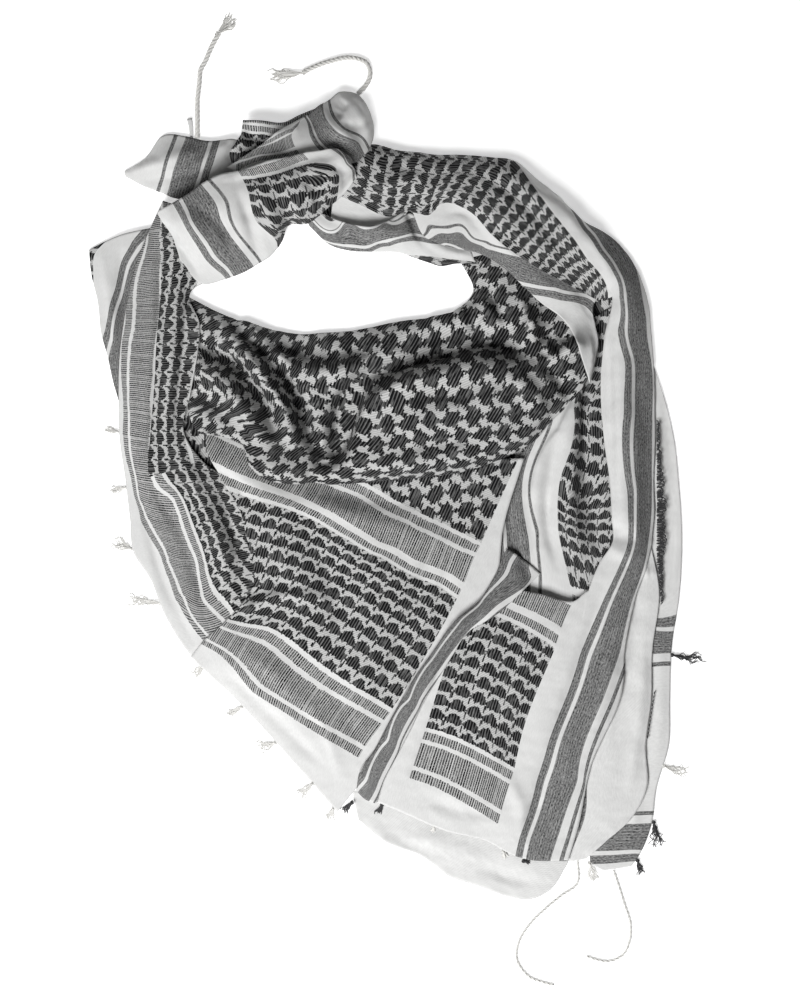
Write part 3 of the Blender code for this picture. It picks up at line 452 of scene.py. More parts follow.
# Where each of these is woven, as bands of u and of v, each from its start to the next. They are read
# off colour ramps that are 1 m long, with a fifth of the threads' shift along v.
U_BANDS = [
    (0, ""), (40, "stripe"), (46, ""), (51, "stripe"), (75, ""), (80, "stripe"), (86, ""),
    (118, "column"), (204, ""), (240, "stripe"), (246, ""), (251, "stripe"), (275, ""),
    (280, "stripe"), (286, ""), (318, "centre"),
]
V_BANDS = [
    (0, ""), (36, "lined"), (43, ""), (48, "lined"), (72, ""), (77, "lined"), (85, ""),
    (88, "border"), (203, ""), (206, "lined"), (214, ""), (219, "lined"), (243, ""),
    (248, "lined"), (257, ""), (260, "centre"),
]
BAND_COLOURS = {
    "": (0, 0, 0, 1), "stripe": (1, 0, 0, 1), "lined": (1, 0, 0, 1), "column": (0, 1, 0, 1),
    "border": (0, 1, 0, 1), "centre": (0, 0, 1, 1),
}
woven = []
for coordinate, stops in ((u, U_BANDS), (moved, V_BANDS)):
    share = add(cloth, "ShaderNodeMath", {0: coordinate, 1: MM}, operation="MULTIPLY", use_clamp=True)
    if stops is V_BANDS:
        share = add(
            cloth, "ShaderNodeMath", {0: shift, 1: -0.8 * MM, 2: share}, operation="MULTIPLY_ADD"
        )
    ramp = add(cloth, "ShaderNodeValToRGB", {0: share})
    ramp.color_ramp.interpolation = "CONSTANT"
    elements = ramp.color_ramp.elements
    elements.remove(elements[1])
    elements[0].color = BAND_COLOURS[""]
    for start, kind in stops[1:]:
        elements.new(start / 1000).color = BAND_COLOURS[kind]
    woven.append(add(cloth, "ShaderNodeSeparateColor", {0: ramp}))
by_u, by_v = woven
inside = add(cloth, "ShaderNodeMath", {0: by_u.outputs[1], 1: by_u.outputs[2]}, operation="ADD")
parts = []
for across, along, pattern in (
    (by_u.outputs[2], by_v.outputs[2], large_check),
    (by_u.outputs[1], by_v.outputs[2], small_check),
    (inside, by_v.outputs[1], small_check),
    (inside, by_v.outputs[0], lined),
):
    here = add(cloth, "ShaderNodeMath", {0: across, 1: along}, operation="MULTIPLY")
    parts.append(add(cloth, "ShaderNodeMath", {0: here, 1: pattern}, operation="MULTIPLY"))
parts.append(add(cloth, "ShaderNodeMath", {0: by_u.outputs[0], 1: striped}, operation="MULTIPLY"))
ink = parts[0]
for part in parts[1:]:
    ink = add(cloth, "ShaderNodeMath", {0: ink, 1: part}, operation="MAXIMUM")

# Behind the white of a check the black threads still show, as fine leaning lines 1.7 mm apart.
behind = leaning_lines(place, 2.2, 2.6)
behind = add(cloth, "ShaderNodeMath", {0: behind, 1: 0.7, 2: 0.1}, operation="MULTIPLY_ADD")
checked = add(cloth, "ShaderNodeMath", {0: by_v.outputs[1], 1: by_v.outputs[2]}, operation="ADD")
checked = add(cloth, "ShaderNodeMath", {0: checked, 1: inside}, operation="MULTIPLY")
behind = add(cloth, "ShaderNodeMath", {0: checked, 1: behind}, operation="MULTIPLY")

# Thin light streaks run along the black threads, where the white weave shows between them: uneven ones
# that come and go, and fine even ones 2.5 mm apart.
streak = add(cloth, "ShaderNodeMath", {0: v, 1: 0.05}, operation="MULTIPLY")
streak = add(cloth, "ShaderNodeCombineXYZ", {0: thread, 1: streak, 2: 5.0})
streak = add(cloth, "ShaderNodeTexNoise", {"Vector": streak, "Scale": 1.7, "Detail": 2.0})
streak = add(
    cloth,
    "ShaderNodeMapRange",
    {"Value": streak.outputs[0], "From Min": 0.52, "From Max": 0.68, "To Min": 1.0, "To Max": 0.84},
)
between = share_of(u, 2.5)
between = add(cloth, "ShaderNodeMath", {0: between, 1: 0.32}, operation="LESS_THAN")
between = add(cloth, "ShaderNodeMath", {0: between, 1: -0.15, 2: 1.0}, operation="MULTIPLY_ADD")
streak = add(cloth, "ShaderNodeMath", {0: streak, 1: between}, operation="MULTIPLY")
ink = add(cloth, "ShaderNodeMath", {0: ink, 1: streak}, operation="MULTIPLY")
ink = add(cloth, "ShaderNodeMath", {0: ink, 1: behind}, operation="MAXIMUM")

# The white ground: uneven yarn in a weave that is drawn 1.1 mm apart, coarser than the real 0.4 mm.
WEAVE = 1.1
yarns = add(cloth, "ShaderNodeVectorMath", {0: place, 1: (1.1, 0.25, 0)}, operation="MULTIPLY")
yarns = add(
    cloth,
    "ShaderNodeTexNoise",
    {"Vector": yarns, "Scale": 1.0, "Detail": 3.0},
    noise_dimensions="2D",
)
ground = add(
    cloth, "ShaderNodeMix", {0: yarns, 6: linear("CBCBCA"), 7: linear("DFDFDE")}, data_type="RGBA"
)
colour = add(
    cloth,
    "ShaderNodeMix",
    {0: ink, 6: ground.outputs[2], 7: linear("0D0D0F")},
    data_type="RGBA",
)
cloth.links.new(colour.outputs[2], cloth_shader.inputs["Base Color"])
weave = []
for coordinate in (u, v):
    ridge = add(cloth, "ShaderNodeMath", {0: coordinate, 1: 2 * math.pi / WEAVE}, operation="MULTIPLY")
    weave.append(add(cloth, "ShaderNodeMath", {0: ridge}, operation="SINE"))
weave = add(cloth, "ShaderNodeMath", {0: weave[0], 1: weave[1]}, operation="MULTIPLY")
relief = add(cloth, "ShaderNodeMath", {0: ink, 1: 0.8, 2: weave}, operation="MULTIPLY_ADD")
relief = add(cloth, "ShaderNodeMath", {0: yarns, 1: 1.5, 2: relief}, operation="MULTIPLY_ADD")
bump = add(cloth, "ShaderNodeBump", {"Height": relief, "Strength": 0.3, "Distance": 0.3 * MM})
cloth.links.new(bump.outputs[0], cloth_shader.inputs["Normal"])


def cloth_points(net):
    """A grid of points on the net's smooth surface, with NaN where the cloth doesn't reach."""
    blank = (np.nan,) * 3
    coarse = np.array([[blank if p is None else p for p in row] for row in net.rows], float)
    sides = []
    for lines in (coarse, coarse.transpose(1, 0, 2)):
        longest = np.nanmax(np.linalg.norm(np.diff(lines, axis=1), axis=2), axis=0)
        sides.append([max(1, math.ceil(length / GRID)) for length in longest])
    across, along = sides
    wide = np.full((len(coarse), sum(across) + 1, 3), np.nan)
    for made, row in zip(wide, coarse):
        first = int(np.argmax(~np.isnan(row[:, 0])))
        made[sum(across[:first]) :] = smooth_line(row[first:], across[first:])
    starts = np.concatenate([[0], np.cumsum(along)])
    fine = np.full((starts[-1] + 1, wide.shape[1], 3), np.nan)
    for column in range(wide.shape[1]):
        there = ~np.isnan(wide[:, column, 0])
        row = 0
        while row < len(there):
            end = row
            while end < len(there) and there[end]:
                end += 1
            if end > row + 1:
                run = smooth_line(wide[row:end, column], along[row : end - 1])
                fine[starts[row] : starts[end - 1] + 1, column] = run
            row = max(end, row + 1)
    return fine, starts, np.concatenate([[0], np.cumsum(across)])


def facing(points):
    """The direction that the cloth faces at each point, upwards."""
    filled = np.where(np.isnan(points), 0, points)
    down, over = np.gradient(filled, axis=0), np.gradient(filled, axis=1)
    out = np.cross(over, down)
    size = np.linalg.norm(out, axis=2, keepdims=True)
    out = np.where(size > 1e-9, out / np.maximum(size, 1e-9), (0, 0, 1))
    return np.where(out[..., 2:] < 0, -out, out)


def creased(points, creases):
    """The points pushed in or out along creases, which are deepest in the middle and fade out."""
    depth = np.zeros(points.shape[:2])
    for number, crease in enumerate(creases):
        route = np.array(crease.route, float)
        route = smooth_line(route, [5] * (len(route) - 1))
        along = lengths_along(route)
        along /= along[-1]
        nearest = np.full(points.shape[:2], 1e9)
        share = np.zeros(points.shape[:2])
        side = np.ones(points.shape[:2])
        for i, (a, b) in enumerate(zip(route[:-1], route[1:])):
            gap, step = points[..., :2] - a, b - a
            t = np.clip((gap @ step) / (step @ step), 0, 1)
            far = np.linalg.norm(gap - t[..., None] * step, axis=2)
            closer = far < nearest
            nearest = np.where(closer, far, nearest)
            share = np.where(closer, along[i] + t * (along[i + 1] - along[i]), share)
            side = np.where(closer, np.sign(step[0] * gap[..., 1] - step[1] * gap[..., 0]), side)
        uneven = 1 + 0.22 * np.sin(share * 9 + number * 2.1) + 0.1 * np.sin(share * 23 + number)
        fade = np.sin(math.pi * np.clip(share, 0.02, 0.98)) ** 0.6
        width = crease.width * np.where(side > 0, crease.lean, 1 / crease.lean) * (0.7 + 0.3 * fade)
        depth += crease.depth * uneven * fade * np.exp(-((nearest / width) ** 2))
    return points + facing(points) * depth[..., None]


def rumpled(points, amount, seed):
    """Small uneven wrinkles of washed cotton, longer one way than the other."""
    made = points.copy()
    out = facing(points)
    for row in range(points.shape[0]):
        for column in range(points.shape[1]):
            x, y, z = points[row, column]
            if math.isnan(x):
                continue
            near = Vector((x * 0.030 + seed, y * 0.045, z * 0.03))
            wave = noise.noise(near) + 0.45 * noise.noise(near * 2.7) + 0.22 * noise.noise(near * 6.1)
            made[row, column] += out[row, column] * wave * amount
    return made


def surface(points):
    """A bmesh on a grid of points, in mm, and the row and column of each of its vertices."""
    rows, columns = points.shape[:2]
    mesh = bmesh.new()
    bmesh.ops.create_grid(mesh, x_segments=columns - 1, y_segments=rows - 1, size=1)
    where, lost = {}, []
    for vertex in mesh.verts:
        column = round((vertex.co.x + 1) / 2 * (columns - 1))
        row = round((vertex.co.y + 1) / 2 * (rows - 1))
        place = points[row, column]
        if math.isnan(place[0]):
            lost.append(vertex)
        else:
            vertex.co = place
            where[vertex] = (row, column)
    bmesh.ops.delete(mesh, geom=lost, context="VERTS")
    mesh.normal_update()
    if sum(face.normal.z * face.calc_area() for face in mesh.faces) < 0:
        bmesh.ops.reverse_faces(mesh, faces=mesh.faces)
    return mesh, where


def tree_of(points):
    """The surface on a grid of points, for rays to meet."""
    mesh = surface(points)[0]
    made = BVHTree.FromBMesh(mesh)
    mesh.free()
    return made


def around(far):
    """The steps from a place to itself and to four places that are this far from it."""
    return (0, 0), (far, 0), (-far, 0), (0, far), (0, -far)


trees = {}  # each laid stretch, for the layers over it to rest on
UP, DOWN = Vector((0, 0, 1)), Vector((0, 0, -1))
OVER_ALL, UNDER_ALL = 500, -5  # heights that rays start from


def drape(points, under):
    """Lifts the cloth where it would sink into the layers under it, and eases the lift out around."""
    rows, columns = points.shape[:2]
    lift = np.zeros((rows, columns))
    layers = [trees[name] for name in under]
    for row in range(rows):
        for column in range(columns):
            x, y, z = points[row, column]
            if math.isnan(x):
                continue
            for tree in layers:
                for dx, dy in around(1.6):
                    hit = tree.ray_cast(Vector((x + dx, y + dy, OVER_ALL)), DOWN)[0]
                    if hit is not None and hit.z + (CLOTH + CLEAR) - z > lift[row, column]:
                        lift[row, column] = hit.z + (CLOTH + CLEAR) - z
    need = lift.copy()
    for _ in range(14):  # passes, each of which eases it one facet further
        wide = np.pad(lift, 1, mode="edge")
        mean = (wide[:-2, 1:-1] + wide[2:, 1:-1] + wide[1:-1, :-2] + wide[1:-1, 2:]) / 4
        lift = np.maximum(need, mean)
    made = points.copy()
    made[..., 2] += lift
    return made


def spread_flat(points, column):
    """Each point's place once the cloth's slopes are laid flat, walked out from one column."""
    steps = np.diff(points, axis=1)
    plan = np.linalg.norm(steps[..., :2], axis=2, keepdims=True)
    over = steps[..., :2] / np.maximum(plan, 1e-6) * np.linalg.norm(steps, axis=2, keepdims=True)
    steps = np.diff(points[:, column], axis=0)
    plan = np.linalg.norm(steps[:, :2], axis=1, keepdims=True)
    down = steps[:, :2] / np.maximum(plan, 1e-6) * np.linalg.norm(steps, axis=1, keepdims=True)
    made = np.full((*points.shape[:2], 2), np.nan)
    made[:, column] = points[0, column, :2] + np.concatenate([[[0, 0]], np.cumsum(down, axis=0)])
    for i in range(column + 1, points.shape[1]):
        made[:, i] = made[:, i - 1] + over[:, i - 1]
    for i in range(column - 1, -1, -1):
        made[:, i] = made[:, i + 1] - over[:, i]
    return made


def plate(places, values):
    """A thin plate bent through the values at the places: a function from places to values."""
    give = 0.001  # how softly the values hold it
    count = len(places)

    def pull(a, b):
        far = ((a[:, None] - b[None]) ** 2).sum(axis=2)
        return far * np.log(far + 1e-9)

    system = np.zeros((count + 3, count + 3))
    system[:count, :count] = pull(places, places) + give * np.eye(count)
    system[:count, count:] = np.column_stack([np.ones(count), places])
    system[count:, :count] = system[:count, count:].T
    weights = np.linalg.solve(system, np.concatenate([values, np.zeros((3, 2))]))

    def at(points):
        return pull(points, places) @ weights[:count] + np.column_stack(
            [np.ones(len(points)), points]
        ) @ weights[count:]

    return at


def woven_at(points, flat, pins):
    """The cloth's own coordinates in metres at every point, from the pins, by way of decimetres."""
    there = ~np.isnan(points[..., 0])
    plan = points[there][:, :2]
    spread = flat[there] / 100
    pins = np.array(pins, float)
    top = points[there][:, 2] * 0.15  # of two layers at one place, the upper one
    held = [int(np.argmin(((plan - pin[:2]) ** 2).sum(axis=1) - top)) for pin in pins]
    at = plate(spread[held], pins[:, 2:] / 100)
    made = np.full((*points.shape[:2], 2), np.nan)
    made[there] = at(spread) / 10
    return made


def put_mesh(name, mesh, material):
    """A bmesh as a new object of one material."""
    data = bpy.data.meshes.new(name)
    mesh.to_mesh(data)
    mesh.free()
    data.materials.append(material)
    return put(name, data)


def lay(name, net, creases, pins, rumple, under=(), spine=None, fold=None, unrolled=1.0):
    """Makes one stretch of the cloth: its net, creased, rumpled and laid on what is under it.

    spine is the column of the net that the cloth is laid flat from, the first one if it isn't given.
    unrolled is how far the pattern follows the slopes between the pins, from 0, as seen from above,
    to 1. fold is for a part that is folded under, where the cloth's own coordinates jump: it has that
    part's pins, and says whether it holds a facet by the facet's row and column.
    """
    points, rows, columns = cloth_points(net)
    plain = points
    points = creased(points, creases)
    points = rumpled(points, rumple, len(trees) * 7.3)
    points = drape(points, under)
    points[..., 2] = np.maximum(points[..., 2], CLOTH + 0.3)  # clear of the table
    trees[name] = tree_of(points)
    flat = spread_flat((plain + points) / 2, columns[net.columns.index(spine) if spine else 0])
    flat = points[..., :2] * (1 - unrolled) + flat * unrolled
    fields = [woven_at(points, flat, pins)]
    if fold:
        fields.append(woven_at(points, flat, fold.pins))
    mesh, where = surface(points)
    layer = mesh.loops.layers.uv.new("cloth")
    for face in mesh.faces:
        face.smooth = True
        corners = [where[loop.vert] for loop in face.loops]
        field = fields[0]
        first_row, first_column = min(c[0] for c in corners), min(c[1] for c in corners)
        if fold and fold.holds(first_row, first_column, rows, columns):
            field = fields[1]
        for loop, (row, col) in zip(face.loops, corners):
            loop[layer].uv = field[row, col]
    bmesh.ops.scale(mesh, verts=mesh.verts, vec=(MM, MM, MM))
    made = put_mesh(name, mesh, keffiyeh_cloth)
    wall = made.modifiers.new("one layer of cloth", "SOLIDIFY")
    wall.thickness = CLOTH * MM
    wall.offset = -1
    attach(made, "root")
    return made


# The far corner of the cloth, which shows below the right flap as a plain white hem. It is the lowest
# layer, so it lies flat on the table and rolls over a little at its rim.
BOTTOM_UNDER = Net(
    ("tuck", "middle", "rim"),
    [
        [(-40, -266, 2.6), (-37, -279, 2.8), (-34, -292, 2.4)],
        [(-10, -269, 3.5), (-11, -292, 4.2), (-12, -310, 2.4)],
        [(24, -274, 3.8), (24, -302, 4.6), (24, -325, 2.4)],
        [(53, -284, 3.8), (50, -317, 4.8), (48, -343, 2.4)],
        [(80, -293, 3.8), (77, -326, 4.8), (75, -352, 2.4)],
        [(104, -302, 3.8), (102, -335, 4.8), (100, -361, 2.4)],
        [(125, -308, 3.8), (123, -338, 4.6), (120, -364, 2.4)],
        [(144, -311, 3.5), (140, -338, 4), (138, -356, 2.4)],
        [(161, -317, 2.8), (157, -324, 2.8), (154, -333, 2.4)],
    ],
)
BOTTOM_UNDER_CREASES = [
    Crease(2.6, 8, 1.2, [(3, -305), (39, -314), (84, -335)]),
    Crease(-2.2, 6, 1.2, [(48, -319), (93, -341), (129, -350)]),
    Crease(2, 6, 1, [(-24, -296), (3, -319), (39, -332)]),
]
BOTTOM_UNDER_PINS = [
    (-34, -292, 112, 8), (48, -328, 104, 10), (129, -355, 96, 12), (147, -329, 92, 34),
    (48, -301, 104, 33), (-15, -274, 112, 30),
]
bottom_under = lay(
    "hem_below_the_flap", BOTTOM_UNDER, BOTTOM_UNDER_CREASES, BOTTOM_UNDER_PINS,
    rumple=0.8,
)
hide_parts("bottom_under")


# The second end of the folded cloth, which shows as a narrow strip outside the right border, with its
# stripes where it turns out again near the bottom. It lies on the table.
RIGHT_UNDER = Net(
    ("tuck", "rim"),
    [
        [(225, 121, 2.5), (232, 119, 2.4)],
        [(225, 86, 2.9), (243, 85, 2.4)],
        [(227, 50, 3), (251, 50, 2.4)],
        [(228, 14, 3), (255, 13, 2.4)],
        [(228, -42, 3), (258, -42, 2.4)],
        [(225, -94, 3), (255, -94, 2.4)],
        [(219, -134, 3), (249, -131, 2.4)],
        [(216, -184, 3), (247, -184, 2.4)],
        [(210, -224, 3), (246, -224, 2.4)],
        [(200, -263, 3), (235, -263, 2.4)],
        [(185, -299, 3), (230, -297, 2.4)],
        [(176, -331, 2.6), (219, -324, 2.4)],
        [(187, -338, 2.4), (212, -334, 2.4)],
    ],
)
RIGHT_UNDER_CREASES = [
    Crease(-1.2, 5, 1, [(242, 86), (248, 23), (246, -58)]),
    Crease(1.4, 6, 1, [(237, -112), (239, -184), (233, -256)]),
    Crease(1.2, 5, 1, [(219, -265), (215, -292), (210, -319)]),
]
RIGHT_UNDER_PINS = [
    (245, -114, 86, 8), (233, -114, 86, 22), (245, -124, 75, 8), (233, -124, 75, 22),
    (245, -146, 51, 8), (233, -146, 51, 22), (245, -156, 40, 8), (233, -156, 40, 22),
    (246, -213, 10, 8), (228, -213, 10, 25), (255, -42, 100, 4), (233, -42, 100, 25),
    (255, 14, 104, 4), (233, 14, 104, 25), (243, 85, 110, 6), (228, 85, 110, 20), (232, 119, 113, 8),
]
RIGHT_UNDER_FOLDED_PINS = [
    (228, -282, 40, 8), (210, -282, 40, 25), (226, -292, 51, 8), (209, -292, 51, 25),
    (222, -317, 75, 8), (201, -317, 75, 25), (220, -326, 86, 8), (200, -326, 86, 25),
    (237, -229, 5, 6), (219, -229, 5, 25),
]
right_under = lay(
    "layer_under_the_border", RIGHT_UNDER, RIGHT_UNDER_CREASES, RIGHT_UNDER_PINS,
    rumple=0.35,
    unrolled=0.0,
    fold=Fold(RIGHT_UNDER_FOLDED_PINS, lambda row, column, rows, columns: row >= rows[8]),
)
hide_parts("right_under")


# A selvedge of the lower layer that sticks out behind the band on the left, striped along its length.
# It is plain weave and lies almost flat.
REAR_LEFT = Net(
    ("rim", "middle", "tuck"),
    [
        [(-277, 222, 2.5), (-250, 235, 5), (-214, 243, 6.5)],
        [(-275, 201, 2.5), (-254, 203, 6), (-220, 211, 7.5)],
        [(-269, 174, 2.5), (-253, 176, 6), (-224, 180, 7)],
        [(-266, 147, 2.5), (-252, 148, 5.5), (-228, 151, 6)],
        [(-260, 125, 2.5), (-249, 125, 4.5), (-231, 127, 5)],
        [(-255, 102, 2.4), (-247, 101, 3.4), (-232, 101, 3.8)],
        [(-250, 85, 2.4), (-244, 83, 2.8), (-234, 81, 2.8)],
    ],
)
REAR_LEFT_CREASES = [
    Crease(-2.4, 6, 1.1, [(-249, 226), (-247, 185), (-244, 131)]),
    Crease(2.4, 5, 1.1, [(-265, 217), (-258, 176), (-253, 131)]),
    Crease(-4, 13, 1, [(-222, 238), (-233, 211), (-236, 167), (-236, 122)]),
]
REAR_LEFT_PINS = [
    (-259, 230, 118, 950), (-233, 230, 86, 950), (-226, 230, 80, 950), (-245, 212, 86, 930),
    (-234, 212, 75, 930), (-255, 176, 86, 888), (-246, 176, 75, 888), (-231, 176, 51, 888),
    (-263, 140, 86, 845), (-253, 140, 75, 845), (-241, 140, 51, 845), (-277, 221, 126, 942),
    (-271, 194, 118, 908), (-268, 167, 105, 877), (-267, 149, 95, 856), (-249, 102, 60, 800),
]
rear_left = lay(
    "layer_behind_the_band", REAR_LEFT, REAR_LEFT_CREASES, REAR_LEFT_PINS,
    spine="middle",
    rumple=0.4,
)
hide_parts("rear_left")


# The cloth's pointed corner that comes out behind the knot on the left, gathered by the pull of it.
# The stripes run across it.
TAIL_END = Net(
    ("upper", "ridge", "lower"),
    [
        [(-245, 293, 2.5), (-245, 291, 2.8), (-244, 288, 2.5)],
        [(-229, 302, 2.6), (-228, 291, 6), (-227, 279, 2.6)],
        [(-208, 326, 3), (-211, 300, 10), (-211, 273, 3)],
        [(-188, 324, 4), (-195, 295, 13), (-202, 269, 6)],
        [(-171, 320, 5), (-179, 293, 15), (-189, 267, 9)],
        [(-152, 321, 6), (-162, 297, 15), (-169, 272, 11)],
        [(-135, 322, 7), (-141, 300, 14), (-144, 275, 11)],
        [(-119, 319, 7), (-121, 299, 12.2), (-123, 277, 10.8)],
    ],
)
TAIL_END_CREASES = [
    Crease(3.2, 5, 1.3, [(-240, 292), (-213, 300), (-177, 311)]),
    Crease(-3.2, 5, 1.1, [(-223, 284), (-195, 287), (-163, 296)]),
    Crease(3, 5, 1, [(-177, 302), (-157, 313), (-141, 329)]),
    Crease(-2.4, 4, 1, [(-154, 298), (-145, 316), (-141, 334)]),
]
TAIL_END_PINS = [
    (-213, 291, 40, 925), (-204, 291, 51, 925), (-180, 291, 75, 925), (-172, 291, 86, 925),
    (-141, 291, 118, 925), (-209, 311, 40, 950), (-198, 311, 51, 950), (-174, 311, 75, 950),
    (-164, 311, 86, 950), (-136, 311, 118, 950), (-225, 275, 34, 905), (-240, 292, 12, 925),
]
tail_end = lay(
    "tail_behind_the_knot", TAIL_END, TAIL_END_CREASES, TAIL_END_PINS,
    spine="ridge",
    rumple=0.6,
)
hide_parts("tail_end")


# A small tab of the same corner, where the long cord is fastened. It is hemmed, plain and white.
TAIL_TAB = Net(
    ("left", "right"),
    [
        [(-189, 340, 2.6), (-184, 341, 2.6)],
        [(-187, 332, 2.6), (-183, 332, 2.6)],
        [(-186, 324, 2.8), (-183, 323, 2.8)],
    ],
)
TAIL_TAB_PINS = [
    (-188, 340, 20, 4), (-184, 340, 26, 4), (-186, 324, 20, 24), (-183, 324, 26, 24),
]
tail_tab = lay("corner_tab", TAIL_TAB, [], TAIL_TAB_PINS, rumple=0.15)
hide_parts("tail_tab")


# The stretch that goes down between the cowl and the right border into the fold. It carries the
# selvedge stripes and the small check, and it is gathered lengthwise.
INNER_COLUMN = Net(
    ("tuck", "valley", "facet", "column", "border"),
    [
        [(167, 153, 6.6), (173, 157, 6.6), (179, 160, 6.6), (186, 166, 6.6), (198, 171, 7)],
        [(160, 121, 6), (168, 122, 7), (176, 124, 8), (183, 127, 7), (196, 130, 6)],
        [(142, 79, 8), (152, 81, 9), (164, 84, 13), (176, 88, 9), (194, 91, 6)],
        [(122, 50, 8), (137, 53, 8), (159, 61, 14), (174, 59, 10), (196, 59, 6)],
        [(101, 19, 8), (116, 22, 6.5), (147, 22, 14), (170, 22, 11), (201, 19, 7)],
        [(92, -8, 8), (109, -8, 6), (139, -7, 14), (170, -9, 11), (203, -13, 7)],
        [(88, -35, 8), (109, -36, 6), (144, -32, 13), (168, -36, 11), (201, -40, 8)],
        [(90, -59, 7), (115, -63, 7), (135, -67, 12), (158, -68, 11), (183, -64, 9)],
        [(96, -85, 7.2), (115, -91, 7.6), (132, -96, 9), (147, -101, 9), (173, -96, 8)],
    ],
)
INNER_COLUMN_CREASES = [
    Crease(5, 7, 1.5, [(162, 86), (149, 59), (131, 33), (126, 13), (122, -8)]),
    Crease(-6, 6, 1.2, [(147, 59), (138, 23), (135, -22), (144, -62)]),
    Crease(-16, 9, 1, [(182, 185), (182, 149), (180, 113), (178, 68), (174, 14), (180, -40)]),
    Crease(4, 8, 1.2, [(161, 41), (157, -13), (164, -62)]),
    Crease(-3, 5, 1, [(167, 50), (165, 5), (171, -40)]),
    Crease(3, 6, 1, [(111, -4), (114, -40), (120, -76)]),
    Crease(-3, 5, 1, [(102, -13), (106, -44), (111, -76)]),
]
INNER_COLUMN_PINS = [
    (101, -31, 275, 290), (120, -31, 251, 290), (130, -31, 240, 290), (148, -31, 204, 300),
    (194, -31, 130, 312), (121, 14, 243, 340), (150, 14, 204, 347), (192, 14, 150, 360),
    (161, 50, 204, 385), (162, 82, 204, 415), (130, -71, 243, 262), (114, -86, 262, 257),
    (161, -91, 204, 257), (183, 122, 190, 462), (147, 79, 235, 415), (173, 145, 204, 480),
    (161, -4, 185, 347),
]
inner_column = lay(
    "column_inside_the_loop", INNER_COLUMN, INNER_COLUMN_CREASES, INNER_COLUMN_PINS,
    spine="facet",
    rumple=0.7,
)
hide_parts("inner_column")


# The inner edge of the back loop beside the knot, turned over so that its stripes follow the neck
# opening.
NECK_LEFT = Net(
    ("turn", "middle", "edge"),
    [
        [(-87, 262, 13.5), (-83, 253, 13), (-78, 243, 9)],
        [(-69, 255, 14), (-63, 241, 15), (-59, 226, 6)],
        [(-47, 246, 16), (-44, 233, 15), (-41, 221, 5)],
        [(-25, 243, 17), (-24, 230, 15), (-20, 220, 5)],
        [(-6, 248, 17.5), (-1, 233, 15), (4, 219, 5)],
        [(10, 256, 12.5), (12, 234, 12.5), (18, 214, 5)],
        [(22, 248, 11), (22, 228, 10.5), (30, 210, 6.5)],
        [(33, 239, 9.8), (34, 221, 9.4), (40, 207, 8)],
        [(45, 228, 9), (48, 220, 9.2), (53, 209, 8.4)],
        [(68, 220, 9), (70, 214, 9), (73, 209, 8.6)],
    ],
)
NECK_LEFT_CREASES = [
    Crease(-5, 5, 1.3, [(10, 259), (15, 247), (21, 230)]),
    Crease(4, 6, 1.1, [(-64, 255), (-28, 242), (5, 238)]),
    Crease(-3.2, 4, 1.1, [(-67, 238), (-33, 229), (2, 226)]),
    Crease(2.4, 4, 1, [(21, 235), (44, 221), (68, 216)]),
]
NECK_LEFT_PINS = [
    (-46, 269, 204, 850), (-46, 254, 240, 850), (-46, 248, 251, 850), (-46, 228, 275, 850),
    (-46, 222, 286, 850), (-24, 248, 240, 830), (-24, 241, 251, 830), (-24, 228, 275, 830),
    (-24, 220, 287, 830), (-7, 252, 240, 812), (-7, 247, 251, 812), (-7, 233, 275, 812),
    (-7, 225, 287, 812), (-7, 216, 310, 812), (12, 257, 244, 792), (12, 251, 251, 790),
    (12, 238, 275, 790), (12, 230, 287, 790), (20, 241, 270, 782), (32, 230, 284, 770),
    (30, 220, 310, 770), (-78, 253, 243, 882), (-78, 243, 275, 880), (66, 220, 300, 735),
    (70, 209, 325, 732),
]
neck_left = lay(
    "collar_edge_by_the_knot", NECK_LEFT, NECK_LEFT_CREASES, NECK_LEFT_PINS,
    spine="middle",
    rumple=0.4,
    unrolled=0.0,
)
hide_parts("neck_left")


# What shows inside the knot: a short tuck of the lined band and a dark fold, squeezed between the
# two ends.
KNOT_TUCK = Net(
    ("left", "fold", "back", "right", "end"),
    [
        [(-138, 339, 15), (-121, 338, 16), (-102, 336, 16), (-87, 343, 14), (-65, 352, 10)],
        [(-139, 328, 19), (-123, 328, 20), (-103, 326, 20), (-83, 334, 17), (-61, 346, 12)],
        [(-144, 318, 21), (-128, 315, 23), (-108, 315, 25), (-83, 323, 26), (-58, 337, 22)],
        [(-150, 308, 19), (-139, 303, 22), (-119, 302, 25), (-90, 310, 27), (-60, 324, 26)],
        [(-148, 300, 17), (-136, 292, 20), (-119, 292, 24), (-92, 298, 26), (-63, 311, 25)],
    ],
)
KNOT_TUCK_CREASES = [
    Crease(-14, 9, 1, [(-136, 334), (-127, 316), (-136, 304)]),
]
KNOT_TUCK_PINS = [
    (-138, 339, 190, 70), (-93, 337, 140, 70), (-115, 338, 165, 70), (-138, 331, 190, 84),
    (-124, 329, 178, 86), (-141, 304, 196, 118), (-121, 311, 172, 112), (-96, 320, 140, 84),
    (-87, 302, 130, 100),
]
knot_tuck = lay(
    "tuck_inside_the_knot", KNOT_TUCK, KNOT_TUCK_CREASES, KNOT_TUCK_PINS,
    under=["tail_behind_the_knot"],
    spine="back",
    rumple=0.4,
)
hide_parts("knot_tuck")


